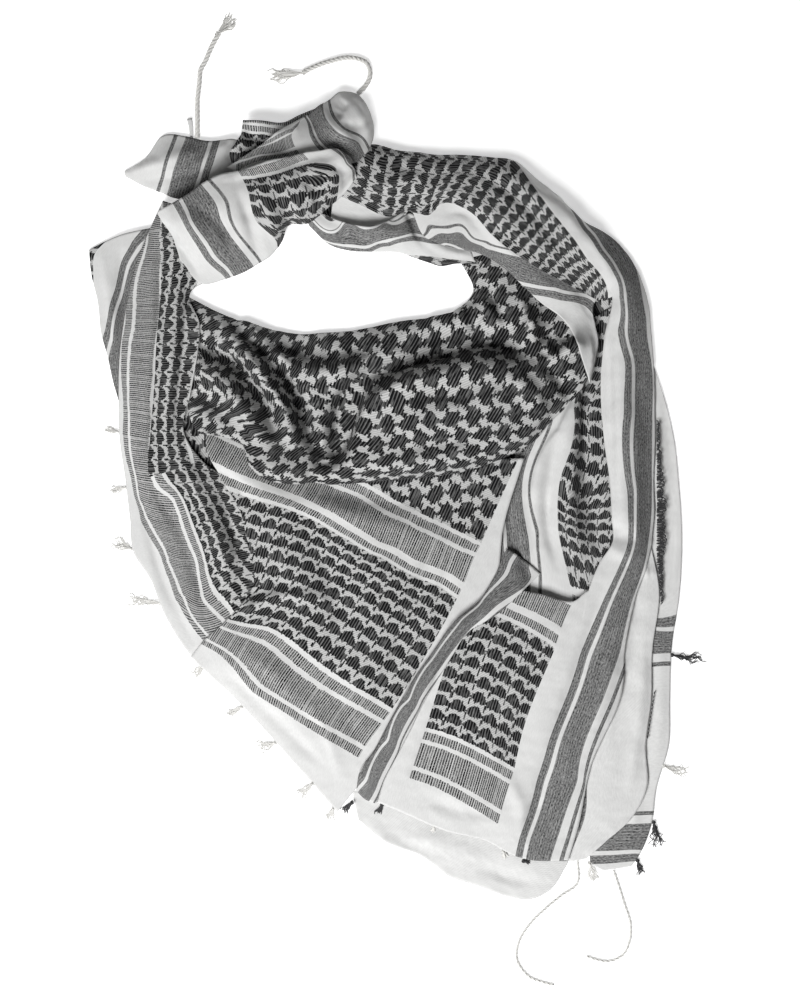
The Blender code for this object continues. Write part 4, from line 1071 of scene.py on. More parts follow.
# The plain hem that turns out from under the right border and rolls along the flap's lower right.
RIGHT_HEM = Net(
    ("tuck", "middle", "rim"),
    [
        [(218, -45, 4.6), (224, -46, 5), (230, -47, 5)],
        [(203, -85, 5.5), (222, -84, 6.5), (237, -85, 5.2)],
        [(189, -139, 6.5), (213, -138, 8), (231, -139, 5.2)],
        [(180, -184, 7), (209, -184, 9), (230, -184, 5.2)],
        [(165, -224, 7.2), (200, -225, 8.5), (225, -225, 5.2)],
        [(156, -265, 7), (194, -265, 8.2), (226, -263, 5.2)],
        [(151, -293, 6.5), (183, -290, 7.6), (213, -289, 5.2)],
        [(146, -315, 6), (170, -312, 6.6), (190, -310, 5.2)],
        [(147, -329, 5.4), (159, -329, 5.4), (171, -327, 5.2)],
    ],
)
RIGHT_HEM_CREASES = [
    Crease(2.4, 5, 1.1, [(170, -326), (190, -310), (213, -289)]),
    Crease(-2.6, 7, 1.2, [(219, -94), (210, -157), (197, -220)]),
    Crease(2, 5, 1, [(216, -69), (227, -69), (235, -69)]),
    Crease(2.2, 6, 1, [(224, -139), (219, -202), (210, -265)]),
]
RIGHT_HEM_PINS = [
    (219, -58, 30, 300), (233, -85, 20, 270), (206, -85, 38, 270), (219, -184, 28, 170),
    (183, -184, 39, 170), (192, -292, 33, 60), (170, -323, 37, 26), (228, -256, 12, 100),
]
right_hem = lay(
    "turned_hem_on_the_right", RIGHT_HEM, RIGHT_HEM_CREASES, RIGHT_HEM_PINS,
    under=["layer_under_the_border", "hem_below_the_flap"],
    spine="middle",
    rumple=0.8,
)
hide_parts("right_hem")


# The fringed edge that comes down the left side: plain hem, lined bands and part of the small check,
# folded under along its middle so that its check starts again inside the fold.
LEFT_BAND = Net(
    ("hem", "fold", "column", "tuck"),
    [
        [(-210, 266, 10), (-202, 263, 15), (-186, 254, 17), (-162, 236, 15)],
        [(-222, 240, 9.5), (-213, 238, 17), (-193, 230, 20), (-164, 215, 15)],
        [(-233, 212, 9.5), (-213, 211, 18), (-195, 207, 20), (-167, 198, 11)],
        [(-240, 185, 9.5), (-213, 185, 18), (-198, 184, 20), (-185, 182, 10)],
        [(-245, 158, 9), (-215, 158, 18), (-196, 157, 19), (-177, 156, 13)],
        [(-249, 127, 8), (-217, 127, 18), (-197, 125, 19), (-179, 125, 14)],
        [(-250, 91, 6.5), (-219, 91, 17), (-202, 90, 18), (-185, 92, 14)],
        [(-249, 50, 5), (-222, 52, 15), (-205, 53, 16), (-191, 58, 12)],
        [(-244, 13, 4.5), (-222, 17, 13), (-202, 23, 14), (-175, 32, 9)],
        [(-240, -20, 4.5), (-202, -6, 12), (-180, 4, 12), (-151, 14, 8)],
        [(-237, -50, 4.5), (-189, -37, 11), (-164, -29, 11), (-133, -21, 8)],
        [(-221, -76, 4.5), (-180, -67, 10), (-157, -60, 10), (-124, -55, 8)],
        [(-210, -104, 4.5), (-173, -92, 10), (-151, -87, 9), (-119, -84, 7.5)],
        [(-192, -135, 4), (-164, -113, 8), (-146, -105, 7), (-123, -101, 7)],
        [(-177, -154, 3.2), (-152, -131, 5), (-137, -122, 5), (-120, -113, 6)],
    ],
)
LEFT_BAND_CREASES = [
    Crease(-6, 5, 1.1, [(-213, 235), (-214, 176), (-216, 122), (-219, 68), (-222, 32)]),
    Crease(3, 6, 1.3, [(-196, 226), (-200, 176), (-205, 122), (-208, 59)]),
    Crease(-5, 6, 1.4, [(-186, 185), (-190, 140), (-195, 95), (-198, 59)]),
    Crease(-4.5, 6, 1.2, [(-225, 23), (-214, -2), (-198, -26), (-182, -68), (-172, -107)]),
    Crease(6.5, 8, 1.2, [(-193, 31), (-171, -14), (-157, -54), (-149, -92)]),
    Crease(-2.6, 5, 1.1, [(-231, 1), (-222, -35), (-207, -83), (-184, -130)]),
    Crease(2, 4, 1, [(-235, 176), (-238, 122), (-237, 68), (-231, 23)]),
    Crease(-5, 6, 1.2, [(-160, 7), (-149, -22), (-141, -58)]),
    Crease(-2, 4, 1, [(-226, 212), (-229, 158), (-231, 104)]),
    Crease(3, 5, 1, [(-186, 64), (-177, 50), (-174, 32)]),
]
LEFT_BAND_PINS = [
    (-177, -94, 538, 73), (-183, -58, 580, 73), (-197, -22, 628, 73), (-204, -4, 646, 73),
    (-221, 14, 662, 73), (-223, 36, 686, 73), (-222, 68, 722, 73), (-221, 104, 765, 73),
    (-217, 149, 820, 73), (-214, 176, 853, 73), (-213, 212, 900, 73), (-213, 244, 940, 73),
    (-193, -94, 530, 46), (-207, -58, 575, 46), (-226, -22, 620, 46), (-232, -4, 640, 46),
    (-236, 14, 660, 46), (-241, 36, 684, 46), (-243, 86, 741, 46), (-240, 149, 818, 46),
    (-237, 185, 868, 46), (-232, 208, 897, 46), (-226, 226, 920, 46), (-198, -94, 526, 40),
    (-210, -58, 573, 40), (-219, -40, 597, 40), (-231, -22, 618, 40), (-234, -4, 637, 40),
    (-246, 59, 708, 40), (-247, 104, 762, 40), (-246, 140, 806, 40), (-174, -130, 500, 38),
    (-250, 86, 741, 30), (-240, -20, 612, 8), (-221, -76, 548, 8), (-192, -135, 498, 8),
    (-177, -4, 640, 112), (-172, 32, 690, 138), (-141, -44, 575, 133), (-157, -60, 560, 110),
    (-151, -87, 530, 95),
]
LEFT_BAND_FOLDED_PINS = [
    (-177, 149, 818, 203), (-184, 104, 764, 203), (-190, 50, 700, 203), (-213, 149, 820, 160),
    (-213, 104, 764, 165), (-214, 50, 700, 168), (-171, 230, 918, 203), (-177, 176, 850, 203),
    (-205, 230, 922, 160), (-207, 185, 868, 160), (-164, 257, 950, 203), (-213, 23, 668, 168),
    (-184, 29, 672, 203),
]
# The band lies on the cowl's left edge, so the cowl's own form comes before it.
COWL = Net(
    ("left", "second", "third", "fourth", "middle", "sixth", "seventh", "right"),
    [
        [
            (-188, 180, 6), (-145, 159, 6), (-96, 148, 6), (-46, 149, 6), (8, 158, 6), (55, 167, 6),
            (69, 184, 6), (57, 213, 4.6),
        ],
        [
            (-188, 166, 8), (-144, 149, 14), (-96, 137, 15), (-46, 137, 16), (8, 145, 17),
            (60, 157, 17), (86, 178, 12), (98, 218, 6),
        ],
        [
            (-187, 136, 9), (-144, 130, 19), (-96, 119, 23), (-47, 117, 24), (5, 126, 25),
            (58, 140, 27), (106, 157, 20), (137, 178, 9.5),
        ],
        [
            (-188, 103, 9.6), (-143, 99, 20), (-96, 85, 24), (-49, 83, 19), (2, 101, 29),
            (56, 112, 31), (115, 126, 27), (170, 149, 12),
        ],
        [
            (-187, 77, 8.5), (-141, 72, 19), (-103, 50, 24), (-56, 49, 23), (-2, 59, 33), (54, 72, 34),
            (115, 92, 31), (175, 131, 14),
        ],
        [
            (-182, 62, 8), (-140, 58, 16), (-117, 28, 20), (-68, 20, 23), (-6, 22, 26), (57, 32, 25),
            (117, 54, 24), (173, 110, 15),
        ],
        [
            (-176, 56, 7.5), (-140, 49, 11), (-124, 20, 14), (-69, 11, 15), (-6, 14, 15), (59, 22, 14),
            (122, 48, 14), (165, 92, 13),
        ],
    ],
)
trees["cowl as it will lie"] = tree_of(cloth_points(COWL)[0])
left_band = lay(
    "band_down_the_left", LEFT_BAND, LEFT_BAND_CREASES, LEFT_BAND_PINS,
    under=["layer_behind_the_band", "cowl as it will lie"],
    spine="fold",
    rumple=0.5,
    fold=Fold(
        LEFT_BAND_FOLDED_PINS,
        lambda row, column, rows, columns: column >= columns[1] and row < rows[8],
    ),
)
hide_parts("left_band")


# The left flap: the corner of the borders, with both lined bands across it and the small check
# between them. It hangs from under the cowl, and its fringed hem runs down to the right.
LEFT_FLAP = Net(
    ("fold", "left", "right", "tuck"),
    [
        [(-164, 65, 7), (-87, 35, 10), (2, 32, 12.2), (115, 34, 12.4)],
        [(-171, 54, 11), (-103, 14, 11.5), (-4, -1, 11.5), (96, -32, 10)],
        [(-169, 38, 15), (-109, 2, 16), (-8, -26, 17), (92, -68, 9)],
        [(-158, 17, 16), (-96, -14, 17), (-18, -51, 17), (82, -100, 8)],
        [(-141, -14, 16), (-87, -53, 16), (-24, -98, 17), (57, -127, 8)],
        [(-135, -44, 14), (-87, -85, 16), (-37, -130, 16), (34, -158, 8)],
        [(-129, -78, 12), (-96, -112, 15), (-51, -157, 15), (18, -184, 7.5)],
        [(-153, -112, 10), (-116, -124, 13), (-60, -162, 13), (5, -203, 7)],
        [(-173, -130, 7.5), (-131, -174, 10), (-87, -203, 10), (-22, -245, 6.5)],
        [(-185, -145, 4), (-138, -190, 3), (-94, -238, 3), (-53, -285, 3)],
    ],
)
LEFT_FLAP_CREASES = [
    Crease(-13, 8, 1.9, [(-169, 25), (-150, 3), (-143, -18), (-140, -40), (-135, -64), (-131, -86)]),
    Crease(-6, 7, 1, [(-131, -80), (-141, -100), (-157, -113)]),
    Crease(6, 8, 1.6, [(-157, -112), (-132, -100), (-96, -88), (-60, -95)]),
    Crease(-5, 8, 1.2, [(-135, -92), (-109, -83), (-78, -83)]),
    Crease(-3.5, 12, 1.2, [(-94, -4), (-67, -53), (-52, -103), (-60, -139)]),
    Crease(3.2, 12, 1.5, [(-121, -22), (-100, -58), (-87, -103), (-90, -139)]),
    Crease(2.6, 15, 1.4, [(-15, -31), (-22, -85), (-40, -139)]),
    Crease(-3, 9, 1.2, [(30, -44), (20, -94), (-4, -152), (-24, -202)]),
    Crease(3, 7, 1.4, [(-148, -130), (-105, -166), (-64, -206)]),
    Crease(-2.6, 6, 1, [(-154, -158), (-109, -202), (-67, -242)]),
    Crease(-2.2, 8, 1.2, [(-87, 23), (-42, 1), (21, -8)]),
    Crease(1.8, 7, 1, [(-96, 10), (-51, -14), (3, -29), (48, -44)]),
    Crease(-1.8, 6, 1, [(-60, -175), (-42, -202), (-34, -224)]),
    Crease(2, 6, 1.2, [(-78, -184), (-60, -220), (-51, -251)]),
    Crease(-2.2, 7, 1.3, [(48, -58), (39, -94), (26, -130)]),
]
LEFT_FLAP_PINS = [
    (56, -94, 318, 203), (77, -45, 318, 258), (39, -24, 361, 260), (20, -17, 382, 260),
    (75, -54, 317, 248), (48, -43, 346, 248), (20, -29, 377, 248), (-15, -11, 416, 248),
    (70, -58, 320, 243), (30, -39, 364, 243), (12, -29, 384, 243), (-33, -5, 435, 243),
    (61, -83, 318, 219), (38, -68, 346, 219), (16, -60, 369, 219), (-15, -44, 404, 219),
    (-42, -28, 435, 219), (-69, -12, 467, 219), (-96, 0, 497, 219), (38, -78, 341, 206),
    (12, -67, 368, 206), (-15, -53, 399, 206), (-42, -37, 430, 206), (-72, -20, 465, 206),
    (-96, -10, 490, 206), (-142, 4, 540, 206), (-131, -80, 498, 129), (-4, -196, 318, 86),
    (-44, -172, 366, 86), (-80, -148, 410, 86), (-116, -122, 453, 86), (-150, -114, 490, 86),
    (-33, -239, 318, 38), (-87, -202, 386, 40), (-131, -174, 438, 40), (-162, -140, 484, 40),
    (-53, -279, 322, 0), (-109, -217, 408, 8), (-165, -166, 480, 12),
]
left_flap = lay(
    "flap_on_the_left", LEFT_FLAP, LEFT_FLAP_CREASES, LEFT_FLAP_PINS,
    under=["band_down_the_left", "hem_below_the_flap", "column_inside_the_loop"],
    spine="left",
    rumple=0.8,
)
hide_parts("left_flap")


# The cowl: the middle of the cloth, all large check, which sags in deep folds below the neck opening
# and rolls over the top of the left flap.
COWL_CREASES = [
    Crease(-34, 10, 0.8, [
        (-76, 20), (-63, 36), (-54, 50), (-50, 68), (-44, 85), (-33, 101), (-15, 114), (2, 122),
        (19, 127), (39, 131), (62, 136),
    ]),
    Crease(-12, 9, 1, [(39, 130), (62, 135), (84, 136), (105, 131), (120, 124)]),
    Crease(12, 12, 1.2, [(-46, 25), (-35, 54), (-24, 76), (-4, 94), (26, 106), (66, 113), (111, 110)]),
    Crease(5, 26, 1, [(-10, 64), (30, 77), (75, 83), (111, 94)]),
    Crease(-26, 7.5, 0.8, [
        (-144, 153), (-125, 134), (-106, 114), (-96, 97), (-84, 79), (-78, 58), (-67, 36),
    ]),
    Crease(13, 9, 1.2, [(-157, 153), (-135, 130), (-117, 106), (-102, 85), (-93, 50)]),
    Crease(-20, 7, 0.9, [(-180, 139), (-157, 126), (-134, 104), (-119, 81), (-108, 49)]),
    Crease(8, 8, 1.2, [(-182, 117), (-159, 103), (-138, 81), (-124, 49)]),
    Crease(-8, 7, 0.9, [(-186, 94), (-166, 83), (-148, 65)]),
    Crease(7, 8, 1, [(98, 106), (115, 97), (127, 84), (132, 68)]),
    Crease(-10, 7, 1, [(127, 125), (140, 131), (149, 142), (156, 157)]),
    Crease(-12, 7, 1, [(121, 130), (107, 140), (96, 154), (88, 172), (84, 185)]),
    Crease(-14, 9, 1, [(111, 130), (84, 142), (57, 146), (21, 142), (-6, 134)]),
    Crease(8, 6, 1.1, [(111, 178), (119, 157), (124, 137)]),
    Crease(8, 6, 1.1, [(79, 178), (93, 157), (111, 140)]),
    Crease(-8, 6, 1, [(134, 118), (147, 106), (158, 88)]),
    Crease(8, 7, 1.1, [(134, 124), (153, 132), (173, 136)]),
    Crease(-6, 6, 1, [(129, 136), (137, 149), (141, 166)]),
    Crease(6, 8, 1.2, [(-145, 158), (-118, 133), (-96, 108)]),
    Crease(6, 9, 1.3, [(-157, 61), (-132, 31), (-96, 20), (-51, 16)]),
    Crease(4, 9, 1.4, [(-33, 27), (21, 27), (66, 35), (116, 58)]),
    Crease(-11, 11, 1.2, [(-109, 140), (-69, 127), (-19, 135)]),
    Crease(6, 9, 1.2, [(-87, 115), (-55, 112), (-24, 122)]),
    Crease(-6, 7, 1.1, [(66, 171), (71, 154), (84, 148)]),
    Crease(5, 7, 1.2, [(26, 157), (53, 158), (75, 167)]),
    Crease(-4, 7, 1.1, [(152, 86), (138, 68), (120, 54)]),
    Crease(-4, 6, 1, [(-127, 140), (-100, 136), (-73, 142)]),
    Crease(-3.5, 7, 1.2, [(3, 40), (39, 47), (75, 50)]),
    Crease(-3, 6, 1.2, [(8, 86), (39, 90), (66, 86)]),
]
COWL_PINS = [
    (48, 68, 500, 500), (120, 68, 438, 536), (48, 140, 536, 562), (-15, 50, 546, 453),
    (111, 140, 481, 594), (-136, 113, 690, 422), (-136, 167, 738, 464), (-87, 86, 625, 438),
    (-87, 23, 576, 381), (39, 28, 485, 448), (170, 113, 417, 599), (93, 176, 514, 616),
    (66, 199, 549, 622), (3, 154, 581, 552), (-60, 136, 620, 499), (-168, 59, 671, 356),
    (-177, 167, 772, 435),
]
cowl = lay(
    "sagging_cowl", COWL, COWL_CREASES, COWL_PINS,
    under=["flap_on_the_left", "column_inside_the_loop"],
    spine="middle",
    rumple=0.9,
)
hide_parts("cowl")


# One stretch of the cloth from the knot round the back of the neck, down the right side and out into
# the right flap. The selvedge and its stripes follow its outer edge all the way.
RIGHT_SIDE = Net(
    ("inner", "band", "small_in", "middle", "small_out", "stripe", "outer"),
    [
        [
            (-59, 238, 9.5), (-59, 248, 10.5), (-57, 264, 12), (-52, 284, 17), (-46, 300, 15),
            (-44, 305, 13), (-43, 309, 12),
        ],
        [
            (-27, 238, 10), (-27, 247, 11), (-26, 261, 14), (-24, 284, 21), (-23, 307, 18),
            (-23, 314, 11), (-23, 317, 3),
        ],
        [
            (0, 241, 10.5), (1, 248, 11.5), (3, 256, 14), (4, 280, 22), (6, 301, 18), (6, 309, 11),
            (6, 311, 3),
        ],
        [
            (12, 257, 13.2), (13, 261, 14.2), (14, 266, 16.5), (16, 281, 22), (19, 300, 19),
            (19, 307, 11), (19, 310, 3),
        ],
        [
            (25, 234, 13.5), (27, 244, 16), (29, 256, 18), (30, 277, 23), (33, 299, 19), (34, 306, 11),
            (34, 308, 3),
        ],
        [
            (45, 225, 13), (45, 243, 18), (46, 264, 20), (48, 283, 24), (53, 298, 20), (54, 305, 11),
            (54, 308, 3),
        ],
        [
            (75, 218, 12), (69, 241, 19), (65, 258, 21), (71, 281, 25), (79, 297, 20), (82, 303, 11),
            (82, 306, 3),
        ],
        [
            (96, 206, 13), (93, 223, 19), (84, 237, 21), (94, 264, 26), (103, 292, 21), (107, 300, 11),
            (107, 302, 3),
        ],
        [
            (112, 191, 14), (112, 207, 19), (104, 220, 21), (120, 248, 25), (130, 273, 23),
            (130, 278, 15), (129, 284, 3.2),
        ],
        [
            (130, 174, 14), (135, 191, 18), (131, 203, 19), (142, 225, 21), (153, 243, 24),
            (158, 253, 18), (163, 254, 3.4),
        ],
        [
            (149, 160, 12), (156, 180, 14), (157, 189, 13), (165, 202, 17), (174, 211, 24),
            (187, 222, 22), (201, 228, 4),
        ],
        [
            (175, 101, 6), (182, 136, 9), (181, 176, 9.8), (187, 179, 11), (194, 180, 17),
            (203, 184, 24), (225, 185, 5.5),
        ],
        [GAP, GAP, GAP, GAP, (188, 147, 15), (205, 148, 23), (230, 148, 5.6)],
        [GAP, GAP, GAP, GAP, (184, 104, 14), (206, 101, 22), (233, 102, 5.6)],
        [GAP, GAP, GAP, GAP, (187, 50, 14), (210, 50, 21), (234, 50, 5.6)],
        [GAP, GAP, GAP, GAP, (192, 13, 14), (211, 13, 20), (233, 13, 5.6)],
        [GAP, GAP, GAP, GAP, (194, -22, 15), (213, -22, 20), (233, -22, 5.6)],
        [GAP, GAP, GAP, GAP, (195, -40, 15), (217, -38, 18), (230, -44, 5.8)],
        [GAP, GAP, GAP, GAP, (183, -60, 15), (206, -60, 18), (224, -67, 6.5)],
        [
            (89, -92, 15), (104, -85, 17), (129, -88, 18), (161, -94, 16), (173, -85, 16),
            (191, -87, 18), (217, -86, 7.5),
        ],
        [
            (66, -104, 14), (92, -104, 17), (119, -118, 18), (148, -134, 17), (165, -132, 17),
            (175, -130, 18), (207, -130, 8.5),
        ],
        [
            (37, -143, 13), (50, -151, 15), (89, -167, 17), (134, -175, 17), (154, -176, 17),
            (162, -175, 18), (203, -179, 9.5),
        ],
        [
            (8, -193, 12), (30, -209, 14), (71, -229, 15), (111, -246, 15), (129, -248, 15),
            (137, -248, 16), (176, -242, 10.5),
        ],
        [
            (-15, -236, 11), (15, -256, 12), (53, -276, 13), (93, -297, 13), (110, -301, 13),
            (118, -296, 13), (163, -302, 10),
        ],
        [
            (-26, -272, 9.5), (3, -284, 10), (46, -302, 10.5), (80, -310, 10.5), (107, -324, 10.5),
            (123, -328, 10.5), (155, -328, 9),
        ],
    ],
)
RIGHT_SIDE_CREASES = [
    Crease(-3, 9, 1, [(222, 149), (219, 104), (224, 59), (225, -4), (223, -58)]),
    Crease(3.2, 8, 1.4, [(230, -42), (212, -85), (194, -148), (180, -202), (165, -247)]),
    Crease(-4.5, 8, 1.2, [(194, -58), (178, -112), (159, -175), (137, -238), (119, -301)]),
    Crease(3, 12, 1.4, [(93, -103), (77, -175), (50, -247)]),
    Crease(-3.2, 9, 1.3, [(134, -130), (113, -202), (86, -274)]),
    Crease(2.4, 7, 1.2, [(66, -130), (53, -184), (30, -238)]),
    Crease(-2.6, 6, 1.2, [(39, -184), (26, -224), (12, -256)]),
    Crease(-2.4, 7, 1.2, [(147, -247), (129, -274), (111, -305)]),
    Crease(2.4, 7, 1, [(93, -247), (111, -274), (116, -310)]),
    Crease(-2.2, 6, 1, [(30, -274), (57, -284), (84, -287)]),
    Crease(-3.5, 6, 1.3, [(39, 292), (66, 292), (98, 275), (125, 251), (147, 224)]),
    Crease(3.4, 7, 1.3, [(3, 275), (39, 275), (75, 260), (111, 236), (147, 209)]),
    Crease(3.4, 8, 1.4, [(134, 274), (158, 247), (182, 220), (194, 199)]),
    Crease(-3, 8, 1.2, [(147, 275), (174, 244), (197, 212), (206, 185)]),
    Crease(-2.6, 6, 1, [(-15, 302), (21, 292), (48, 288)]),
    Crease(2.6, 6, 1.1, [(-19, 275), (3, 283), (30, 293)]),
    Crease(3, 7, 1.2, [(189, 149), (200, 86), (201, 23), (200, -31)]),
    Crease(-3, 6, 1, [(187, 176), (190, 140), (191, 86), (194, 41)]),
    Crease(-3.5, 8, 1, [(161, 189), (179, 184), (194, 180)]),
    Crease(-2, 5, 1, [(206, 23), (212, -4), (209, -40)]),
    Crease(2, 6, 1, [(183, -40), (200, -50), (219, -58)]),
    Crease(-2.4, 6, 1.2, [(192, -22), (203, -36), (219, -40)]),
    Crease(1.8, 5, 1, [(53, 253), (75, 244), (93, 226), (111, 211)]),
    Crease(-2.4, 5, 1, [(39, 253), (59, 254), (80, 235), (98, 214)]),
]
RIGHT_SIDE_PINS = [
    (67, -102, 204, 203), (145, -139, 118, 203), (158, -102, 118, 243), (165, -91, 118, 257),
    (109, -247, 118, 88), (29, -211, 204, 88), (93, -299, 118, 36), (13, -258, 204, 36),
    (60, -121, 204, 183), (210, -42, 86, 325), (229, -42, 51, 325), (190, -94, 86, 267),
    (215, -94, 51, 279), (169, -143, 86, 214), (205, -143, 51, 230), (155, -184, 86, 172),
    (190, -184, 51, 188), (140, -222, 86, 131), (174, -222, 51, 146), (130, -256, 86, 91),
    (165, -256, 51, 107), (176, -256, 40, 112), (114, -307, 86, 39), (150, -307, 51, 55),
    (211, 3, 86, 370), (234, 3, 51, 370), (208, 75, 86, 442), (233, 75, 51, 442), (208, 122, 86, 489),
    (232, 122, 51, 489), (188, 147, 105, 514), (188, 75, 105, 442), (191, 3, 105, 370),
    (170, 240, 86, 627), (180, 238, 75, 622), (184, 220, 86, 595), (192, 220, 75, 595),
    (204, 220, 62, 595), (196, 201, 86, 570), (203, 201, 75, 570), (218, 201, 54, 570),
    (202, 180, 86, 545), (209, 180, 75, 545), (224, 180, 51, 545), (204, 160, 86, 524),
    (210, 160, 75, 524), (228, 160, 51, 524), (204, 140, 86, 505), (211, 140, 75, 505),
    (229, 140, 51, 505), (112, 300, 118, 710), (129, 274, 118, 680), (151, 245, 118, 640),
    (173, 213, 118, 600), (191, 184, 118, 556), (-44, 269, 204, 850), (-24, 261, 204, 832),
    (-8, 254, 204, 818), (3, 255, 204, 806), (13, 257, 204, 793), (29, 253, 204, 776),
    (38, 264, 204, 762), (53, 264, 204, 742), (61, 260, 204, 733), (73, 252, 204, 718),
    (82, 242, 204, 702), (95, 228, 204, 678), (111, 217, 204, 652), (127, 206, 204, 630),
    (140, 199, 204, 610), (154, 191, 204, 592), (168, 180, 204, 575), (120, 287, 118, 695),
    (140, 259, 118, 660), (162, 230, 118, 620), (-23, 318, 128, 847), (33, 308, 130, 790),
    (82, 306, 128, 741), (6, 311, 130, 815), (103, 303, 122, 718), (-24, 284, 163, 839),
    (4, 280, 161, 810), (16, 281, 168, 798), (30, 277, 164, 782), (48, 283, 160, 761),
    (71, 281, 158, 736), (94, 264, 164, 705), (120, 248, 159, 671), (142, 225, 161, 630),
    (165, 202, 162, 592),
]
RIGHT_SIDE_FOLDED_PINS = [
    (-44, 269, 204, 850), (-24, 261, 204, 832), (-8, 254, 204, 818), (3, 255, 204, 806),
    (13, 257, 204, 793), (29, 253, 204, 776), (38, 264, 204, 762), (53, 264, 204, 742),
    (61, 260, 204, 733), (73, 252, 204, 718), (82, 242, 204, 702), (17, 251, 215, 791),
    (20, 244, 228, 787), (23, 238, 236, 785), (84, 237, 213, 700), (91, 232, 226, 686),
    (98, 225, 240, 674), (104, 220, 247, 664), (111, 216, 251, 655), (124, 208, 255, 636),
    (142, 197, 262, 612), (150, 193, 266, 600), (162, 186, 274, 586), (174, 179, 280, 572),
    (29, 245, 240, 784), (46, 245, 240, 757), (59, 245, 240, 736), (69, 234, 240, 718),
    (82, 230, 240, 700), (32, 235, 251, 780), (47, 237, 251, 757), (60, 237, 251, 736),
    (69, 230, 251, 720), (82, 223, 251, 700), (93, 220, 251, 680), (42, 229, 275, 764),
    (60, 223, 275, 738), (74, 217, 275, 716), (84, 213, 275, 698), (103, 199, 275, 664),
    (111, 195, 275, 650), (121, 193, 275, 636), (145, 189, 275, 602), (120, 184, 286, 634),
    (134, 182, 286, 616), (147, 179, 286, 598), (130, 174, 297, 618), (175, 104, 312, 505),
    (182, 136, 292, 540), (152, 160, 308, 590), (165, 136, 312, 560),
]
right_side = lay(
    "loop_border_and_right_flap", RIGHT_SIDE, RIGHT_SIDE_CREASES, RIGHT_SIDE_PINS,
    under=[
        "layer_under_the_border",
        "turned_hem_on_the_right",
        "column_inside_the_loop",
        "sagging_cowl",
        "hem_below_the_flap",
    ],
    spine="stripe",
    rumple=0.9,
    unrolled=0.0,
    fold=Fold(
        RIGHT_SIDE_FOLDED_PINS,
        lambda row, column, rows, columns: column < columns[2] and row < rows[12],
    ),
)
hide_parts("back_loop", "right_border", "right_flap")


# The narrow pleat between the two flaps, where the cloth doubles back on itself. Its stripes run
# along it.
PLEAT = Net(
    ("left", "crest", "right"),
    [
        [(99, -47, 10), (111, -54, 12), (130, -70, 11)],
        [(89, -71, 13), (101, -78, 18), (113, -86, 17)],
        [(75, -94, 15), (84, -99, 22), (94, -104, 20)],
        [(51, -118, 14), (57, -122, 21), (65, -124, 18)],
        [(36, -138, 13), (43, -141, 20), (51, -144, 17)],
        [(22, -158, 13), (30, -162, 20), (38, -165, 16)],
        [(8, -181, 12), (15, -184, 19), (24, -187, 16)],
        [(-6, -204, 12), (3, -209, 18), (12, -212, 15)],
        [(-20, -229, 11), (-11, -233, 17), (-1, -237, 14)],
        [(-33, -248, 10), (-24, -255, 16), (-12, -258, 13)],
        [(-36, -265, 9), (-28, -273, 13), (-18, -277, 12)],
    ],
)
PLEAT_CREASES = [
    Crease(3.2, 4, 1.1, [(93, -58), (66, -99), (30, -143), (3, -193), (-22, -242)]),
    Crease(-3, 4, 1.1, [(107, -62), (80, -103), (48, -143), (26, -184)]),
    Crease(-2.5, 5, 1, [(111, -50), (117, -67), (120, -76)]),
]
PLEAT_PINS = [
    (99, -54, 286, 262), (111, -54, 275, 262), (129, -54, 251, 262), (90, -71, 286, 243),
    (103, -71, 275, 243), (125, -71, 251, 243), (74, -94, 286, 222), (79, -94, 276, 222),
    (101, -94, 251, 222), (56, -112, 286, 204), (60, -112, 276, 204), (75, -112, 255, 204),
    (22, -148, 286, 160), (34, -148, 275, 160), (45, -148, 252, 160), (2, -184, 286, 118),
    (13, -184, 275, 118), (21, -184, 252, 118), (-17, -220, 286, 80), (-5, -220, 275, 80),
    (2, -220, 253, 80), (-36, -256, 286, 36), (-25, -256, 275, 36), (-18, -256, 258, 36),
]
pleat = lay(
    "pleat_between_the_flaps", PLEAT, PLEAT_CREASES, PLEAT_PINS,
    under=["flap_on_the_left", "loop_border_and_right_flap", "column_inside_the_loop"],
    spine="crest",
    rumple=0.3,
    unrolled=0.0,
)
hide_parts("pleat")


# The knot's upper layer: the second corner, which comes over from the back and ends in a folded tip
# with a cord.
WRAP_TOP = Net(
    ("outline", "crest", "tuck"),
    [
        [(-152, 295, 22.9), (-144, 291, 25.9), (-134, 281, 25.9)],
        [(-134, 307, 24.9), (-124, 300, 28.9), (-115, 287, 28.9)],
        [(-112, 322, 24.9), (-102, 311, 29.9), (-94, 295, 29.9)],
        [(-95, 334, 22.9), (-86, 319, 30.9), (-77, 300, 30.9)],
        [(-83, 341, 19.9), (-69, 321, 30.9), (-54, 301, 29.9)],
        [(-71, 350, 15.9), (-54, 328, 29.9), (-38, 299, 24.9)],
        [(-60, 357, 12.9), (-46, 337, 27.9), (-28, 307, 16.9)],
        [(-51, 364, 9.9), (-37, 345, 23.9), (-21, 320, 11.9)],
        [(-41, 364, 6.4), (-32, 349, 14.9), (-20, 333, 7.9)],
        [(-34, 362, 4.4), (-28, 355, 7.4), (-23, 345, 5.9)],
    ],
)
WRAP_TOP_CREASES = [
    Crease(-5, 5, 1.3, [(-54, 338), (-50, 347), (-44, 356)]),
    Crease(4, 5, 1.2, [(-69, 351), (-60, 334), (-46, 322), (-31, 311)]),
    Crease(-4, 5, 1.1, [(-78, 344), (-69, 325), (-52, 310)]),
    Crease(3, 5, 1, [(-42, 358), (-31, 343), (-25, 320)]),
    Crease(-3, 4, 1, [(-46, 334), (-37, 331), (-27, 337)]),
    Crease(3, 5, 1, [(-121, 320), (-105, 325), (-87, 331)]),
]
